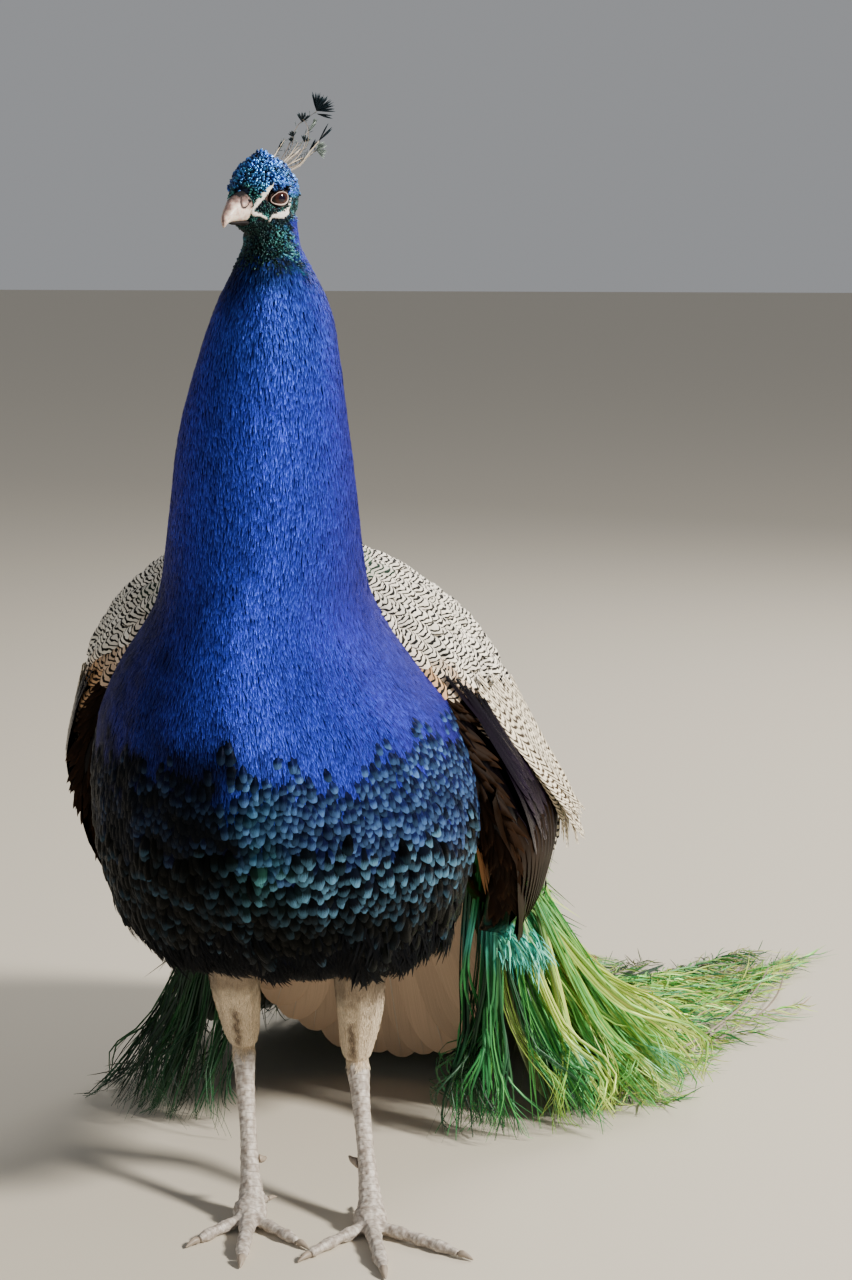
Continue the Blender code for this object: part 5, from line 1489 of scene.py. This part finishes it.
curl = vane("curl_vane", (0.35, 0.85, 1.0, 0.8, 0.35), columns=4, cup=0.55, bow=0.34)
crest_vane = feather_material(
    "crest_vane", (0.004, 0.005, 0.006), (0.003, 0.008, 0.012), (0.006, 0.020, 0.028), metallic=0.2,
    roughness=0.5, ends=(0.3, 0.75), tone=0.7, barbs=20, slant=2.0, green=(0.32, 0.40, 0.36), gloss=0.1,
)
beaded = feather_material(
    "beaded_blue", (0.001, 0.002, 0.010), (0.008, 0.028, 0.22), (0.060, 0.240, 0.72), metallic=0.65,
    roughness=0.26, ends=(0.50, 0.45), tone=2.0, barbs=5, slant=2.0, green=(0.055, 0.250, 0.235),
    bump=0.2, soft=2.6, dark_mark_tone=(0.002, 0.007, 0.008),
)
strew(
    "crown_plumage", head_hide, "crown", curl, beaded, spacing=0.00138, length=0.0042, width=0.0029,
    lift=20, stray=38, slot="blue_feather", seed=71,
)
strew(
    "face_plumage", head_hide, "face", curl, beaded, spacing=0.00108, length=0.0030, width=0.0020,
    lift=16, stray=30, slot="blue_feather", seed=72,
)
strew(
    "nape_plumage", head_hide, "nape", hair, royal, spacing=0.00115, length=0.0052, width=0.0012, lift=7,
    stray=14, slot="blue_feather", seed=73,
)

# Eyes: wet dark brown balls set deep under the brow, with a black pupil and a clear front.
# A thin pale lid ring closes round each of them.
EYE_TONES = ((0.0, (0.006, 0.003, 0.012)), (0.185, (0.004, 0.002, 0.007)), (0.215, (0.022, 0.006, 0.005)),
             (0.36, (0.042, 0.012, 0.008)), (0.46, (0.008, 0.003, 0.002)), (0.52, (0.004, 0.003, 0.003)))
eye_look, node, _, shader = new_look("eye", 0.06, IOR=1.38)
eye_look.node_tree.links.new(ramp_of(node, mark_of(node, "ring"), EYE_TONES), shader.inputs["Base Color"])
lid_look = new_look("lid", 0.45, Base_Color=(0.62, 0.45, 0.40, 1))[0]
lids = []
for which, sign in (("left", 1), ("right", -1)):
    flip = np.array((1, sign, 1))
    axis = HEAD @ (EYE_AXIS * flip)
    middle = HEAD_CENTRE + HEAD @ (EYE_MIDDLE * flip)
    bm = bmesh.new()
    bmesh.ops.create_uvsphere(bm, u_segments=48, v_segments=32, radius=EYE_BALL)
    turned = Vector(axis).to_track_quat("Z", "Y").to_matrix()
    mesh = bpy.data.meshes.new("eyeball_" + which)
    rings = []
    for vert in bm.verts:
        angle = math.acos(max(-1, min(1, vert.co.z / EYE_BALL)))
        rings.append(angle / math.pi * 2)
        vert.co *= 1 + 0.035 * max(0, 1 - angle / 0.75) ** 0.5 * (angle < 0.75)
        vert.co = turned @ vert.co + Vector(middle)
    bm.to_mesh(mesh)
    bm.free()
    put(mesh, "ring", rings)
    mesh.materials.append(eye_look)
    mesh.shade_smooth()
    settle("eyeball_" + which, mesh, "eye", ["eye_" + which])

    points, faces = [], []
    for k in range(40):
        turn = math.tau * k / 40
        back, over = eye_ring(turn, 1.05)
        rise = math.sqrt(max(EYE_BALL**2 - back * back - over * over, 0)) + 0.0005
        thick = 0.00044 - 0.00022 * max(0.0, math.sin(turn)) + 0.00012 * max(0.0, -math.sin(turn))
        for j in range(8):
            roll = math.tau * j / 8
            grow = 1 + thick * math.cos(roll) / math.hypot(back, over)
            spot = EYE_MIDDLE + EYE_AXIS * (rise + thick * math.sin(roll))
            spot = spot + EYE_ALONG * back * grow + EYE_UP * over * grow
            points.append(HEAD_CENTRE + HEAD @ (spot * flip))
            a, b = k * 8 + j, k * 8 + (j + 1) % 8
            c, d = (k + 1) % 40 * 8 + (j + 1) % 8, (k + 1) % 40 * 8 + j
            faces.append((a, b, c, d) if sign < 0 else (d, c, b, a))
    mesh = bpy.data.meshes.new("lid_" + which)
    mesh.from_pydata([tuple(point) for point in points], [], faces)
    mesh.materials.append(lid_look)
    mesh.shade_smooth()
    lids.append(object_of("lid_" + which, mesh))

# Bill: two halves of horn, the upper one hooked over the lower, grey-brown round the
# nostrils and ivory towards the tip. The lower half is painted near-black, painted shade under
# the upper one, and the nostril and the slit round its flap are painted dark, painted shade in
# these hollows.
# Cuts through each half: how far ahead, half its width, its top and its bottom
UPPER_BILL = [
    (0.0160, 0.0100, 0.0118, -0.0100), (0.0290, 0.0098, 0.0106, -0.0126), (0.0380, 0.0080, 0.0080, -0.0120),
    (0.0470, 0.0058, 0.0032, -0.0112), (0.0530, 0.0040, -0.0024, -0.0118), (0.0560, 0.0026, -0.0050, -0.0140),
    (0.0572, 0.0012, -0.0095, -0.0146),
]
LOWER_BILL = [
    (0.0150, 0.0076, -0.0100, -0.0168), (0.0280, 0.0064, -0.0110, -0.0158),
    (0.0370, 0.0046, -0.0108, -0.0144), (0.0440, 0.0032, -0.0108, -0.0136),
    (0.0480, 0.0012, -0.0108, -0.0124),
]

horn_look, node, maths, shader = new_look("bill_horn", 0.38, Subsurface_Weight=0.12, Subsurface_Scale=0.003,
                                          Specular_IOR_Level=0.3)
# One mark darkens the horn: its own grey-brown base and ridge, and painted shade on the lower half and in the
# nostril.
wear, age = noise_of(node, 260.0, 4.0), mark_of(node, "age")
mixed_tone = maths("ADD", age, maths("MULTIPLY_ADD", wear, 1.1, -0.48), clamp=True)
BILL_TONES = ((0.0, (0.78, 0.66, 0.56)), (0.18, (0.60, 0.45, 0.38)), (0.45, (0.26, 0.17, 0.15)),
              (1.0, (0.007, 0.005, 0.006)))
finish_look(shader, node, ramp_of(node, mixed_tone, BILL_TONES), wear, 0.25, 0.0003)
horn_look.node_tree.links.new(maths("MULTIPLY_ADD", age, 0.35, 0.35), shader.inputs["Roughness"])


def rising(value, start, reach):
    """0 up to the start, 1 from a reach past it, and a straight way between."""
    return max(0.0, min(1.0, (value - start) / reach))


for which, table in (("upper", UPPER_BILL), ("lower", LOWER_BILL)):
    rows = smooth_rows(table, 150)
    rings, dark_horn_and_shade_list = [], []
    for ahead, half, top, bottom in rows:
        middle, reach = (top + bottom) / 2, (top - bottom) / 2
        ring = []
        for turn in np.arange(120) * math.tau / 120:
            y, z = half * math.cos(turn), middle + reach * math.sin(turn)
            y *= 1 - 0.18 * max(0.0, math.sin(turn)) ** 3 * (which == "upper")
            spot = np.array((ahead, y, z))
            dark = 0.42 * rising(-ahead, -0.0440, 0.008) * rising(z, -0.004, 0.006)
            dark += 0.30 * rising(-ahead, -0.0430, 0.008) * rising(z, 0.0045, 0.004)
            dark += 0.45 * rising(math.sin(turn), 0.55, 0.45)
            if which == "upper":
                hole = ((ahead - 0.0318) / 0.0016) ** 2 + ((z - 0.0034) / 0.0012) ** 2
                flap = math.hypot((ahead - 0.0362) / 0.0046, (z - 0.0030 + 0.5 * (ahead - 0.0362)) / 0.0036)
                slit = math.exp(-(((flap - 1) / 0.17) ** 2)) * (ahead > 0.0345 or z < 0.0030)
                swell = 0.0014 * math.exp(-(flap**4)) - 0.0022 * math.exp(-hole * 1.2) - 0.0008 * slit
                spot[1] += math.copysign(swell, y) * (abs(y) > 0.002)
                # Painted shade: the nostril and the slit round its flap are darkened.
                dark = max(dark, 1.8 * math.exp(-hole), 1.15 * slit)
            # Painted shade: the whole lower half is darkened to near-black, in the upper half's shade.
            dark_horn_and_shade_list.append(dark + 1.1 * (which == "lower"))
            ring.append(HEAD_CENTRE + HEAD @ spot)
        rings.append(ring)
    mesh = tube(f"bill_{which}_horn", rings)
    put(mesh, "age", dark_horn_and_shade_list)
    mesh.materials.append(horn_look)
    mesh.shade_smooth()
    settle(mesh.name, mesh, "bill_horn", ["bill_" + which])


# Crest: bare whitish shafts, a few with dark vanes and two with fans, out of the hind crown.
# Its places are told from the head's centre, to the right and up as the camera sees them.
# Each shaft has its width, how brown it is, and its places in millimetres.
CREST = [
    (0.55, 0.1, [(8.2, 33.2), (10.3, 37.2), (13.7, 42.9), (17.0, 48.2)]),
    (0.38, 0.9, [(13.9, 32.7), (17.8, 38.9), (21.4, 46.0), (26.0, 57.4), (31.9, 63.2), (35.0, 65.0),
                 (41.8, 69.8)]),
    (0.50, 0.2, [(16.8, 30.6), (22.2, 36.7), (27.7, 45.6)]),
    (0.80, 0.0, [(18.3, 31.0), (25.8, 37.2), (29.1, 40.7)]),
    (0.45, 0.3, [(17.5, 29.7), (22.7, 37.2), (29.6, 44.3), (32.7, 50.9), (36.0, 55.4)]),
    (0.40, 0.8, [(18.2, 28.2), (24.5, 34.1), (33.1, 41.2), (35.4, 45.6), (35.9, 52.2), (34.5, 58.8),
                 (31.3, 63.2)]),
    (0.95, 0.0, [(18.7, 22.5), (29.3, 28.3), (34.3, 34.9), (37.6, 39.4), (43.9, 46.9), (48.4, 52.6)]),
    (0.50, 0.8, [(17.7, 25.2), (27.1, 28.8), (33.0, 34.5), (34.8, 37.2)]),
    (0.60, 0.3, [(17.7, 27.0), (25.8, 31.0), (31.0, 33.6)]),
    (0.50, 0.5, [(18.0, 24.3), (28.6, 29.3), (38.4, 37.6), (41.6, 39.8)]),
    (0.35, 0.7, [(15.2, 31.5), (19.9, 37.4), (22.6, 44.0), (23.9, 50.5)]),
    (0.40, 0.4, [(18.0, 26.0), (26.2, 33.0), (31.0, 39.5), (33.5, 47.0)]),
]
RIGHTWARD = np.array((math.cos(math.radians(CAMERA_TURN)), math.sin(math.radians(CAMERA_TURN)), 0))
UPWARD, BACKWARD = np.array((0, 0, 1)), np.array((-0.139, 0.990, 0))
random = np.random.default_rng(81)


def crest_place(right, up, back):
    """Millimetres to the right, up and back from the head's centre."""
    right, up, back = (np.asarray(value, float)[..., None] / 1000 for value in (right, up, back))
    return HEAD_CENTRE + RIGHTWARD * right + UPWARD * up + BACKWARD * back


paths, widths, tones = [], [], []
for k, (width, brown, places) in enumerate(CREST):
    track = smooth_rows(places, 12)
    back = 22 + 6 * math.sin(2.1 * k) + np.linspace(-4, 4, 12)
    paths.append(crest_place(track[:, 0], track[:, 1], back))
    widths.append(0.72 * width * np.interp(np.linspace(0, 1, 12), (0, 0.4, 1), (1, 0.8, 0.4)) / 1000)
    tones.append(0.9 * brown)
paths, widths = np.array(paths), np.array(widths)
across = np.tile(RIGHTWARD * 0.8 - UPWARD * 0.6, (len(paths), 12, 1))
for name, cup, replaced in (("crest_shafts", -0.9, ["crest"]), ("crest_shafts_behind", 0.9, ())):
    vanes_along(
        name, paths, across, widths, pale_shaft, "blue_feather", columns=3, cup=cup,
        marks=(("dark", tones),), replaced=replaced,
    )

fan_paths, fan_ways, fan_widths, fan_greens = [], [], [], []


def crest_barb(right, up, angle, reach, bend, width, green, back):
    """One barb of a fan, from its root to the right and up; back tells how deep each step lies."""
    step = np.linspace(0, 1, 6)
    ahead, aside = reach * step, reach * bend * step**2
    spot_x = right + ahead * math.cos(angle) - aside * math.sin(angle)
    spot_z = up + ahead * math.sin(angle) + aside * math.cos(angle)
    fan_paths.append(crest_place(spot_x, spot_z, back))
    fan_ways.append(np.tile(UPWARD * math.cos(angle) - RIGHTWARD * math.sin(angle), (6, 1)))
    fan_widths.append(np.array((0.25, 0.6, 0.9, 1.0, 0.75, 0.1)) * width)
    fan_greens.append(green)


# Where the crest's barbs spread: root, first and last direction in degrees, length, how many, how green
step = np.linspace(0, 1, 6)
for right, up, low, high, long, many, pale in (
    (41.8, 69.8, -6, 108, 14.0, 36, 0.0), (41.6, 39.8, -55, 70, 8.6, 26, 0.95),
    (42.2, 67.5, -16, -8, 12.5, 3, 0.0), (30.5, 61.0, 40, 125, 8.5, 18, 0.05),
    (32.2, 46.0, 20, 110, 5.5, 10, 0.05), (23.5, 50.0, 60, 150, 5.0, 7, 0.1),
    (22.5, 46.0, 70, 140, 4.0, 5, 0.1), (36.0, 39.5, 38, 62, 11.5, 9, 0.0),
    (43.5, 46.5, 42, 56, 15.0, 5, 0.0), (10.5, 37.5, 55, 64, 11.5, 4, 0.0),
    (39.0, 60.0, 40, 70, 4.5, 5, 1.0), (35.5, 54.0, 48, 66, 10.0, 4, 1.0),
):
    width = 0.00048 if many > 6 else 0.00048 * 1.3
    for turn in np.linspace(low, high, many) + random.normal(0, 3, many):
        reach, bend = long * random.uniform(0.82, 1.08), random.normal(0, 0.05)
        back = 25 + random.uniform(-2.5, 2.5) + step * random.uniform(-2, 3)
        crest_barb(right, up, math.radians(turn), reach, bend, width, pale, back)
for _, brown, places in CREST:
    for turn, (right, up) in enumerate(smooth_rows(places, 17)[2:-1] if brown > 0.05 else ()):
        angle, reach = math.radians(55 + (-1) ** turn * random.uniform(22, 50)), random.uniform(2.2, 4.8)
        back = 25 + random.uniform(-1.5, 1.5) + 2 * step
        crest_barb(right, up, angle, reach, 0, 0.00022, random.choice((0.05, 0.6, 0.9)), back)
vanes_along(
    "crest_fans", np.array(fan_paths), np.array(fan_ways), np.array(fan_widths), crest_vane,
    "black_feather", columns=3, cup=-0.3, marks=(("green", fan_greens),),
)

# The one skin: the hides of trunk, head, lids and legs are joined, so that no seam shows
# between them, and this bare skin stands for the flesh of the whole bird.
with bpy.context.temp_override(active_object=trunk_hide, object=trunk_hide,
                               selected_editable_objects=[trunk_hide, head_hide, *leg_hides, *lids]):
    bpy.ops.object.join()
trunk_hide.name = trunk_hide.data.name = "skin"
trunk_hide.data.shade_smooth()
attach(trunk_hide, "root")
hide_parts(*TRUNK, "head", *[part + which for part in LEG for which in ("left", "right")])
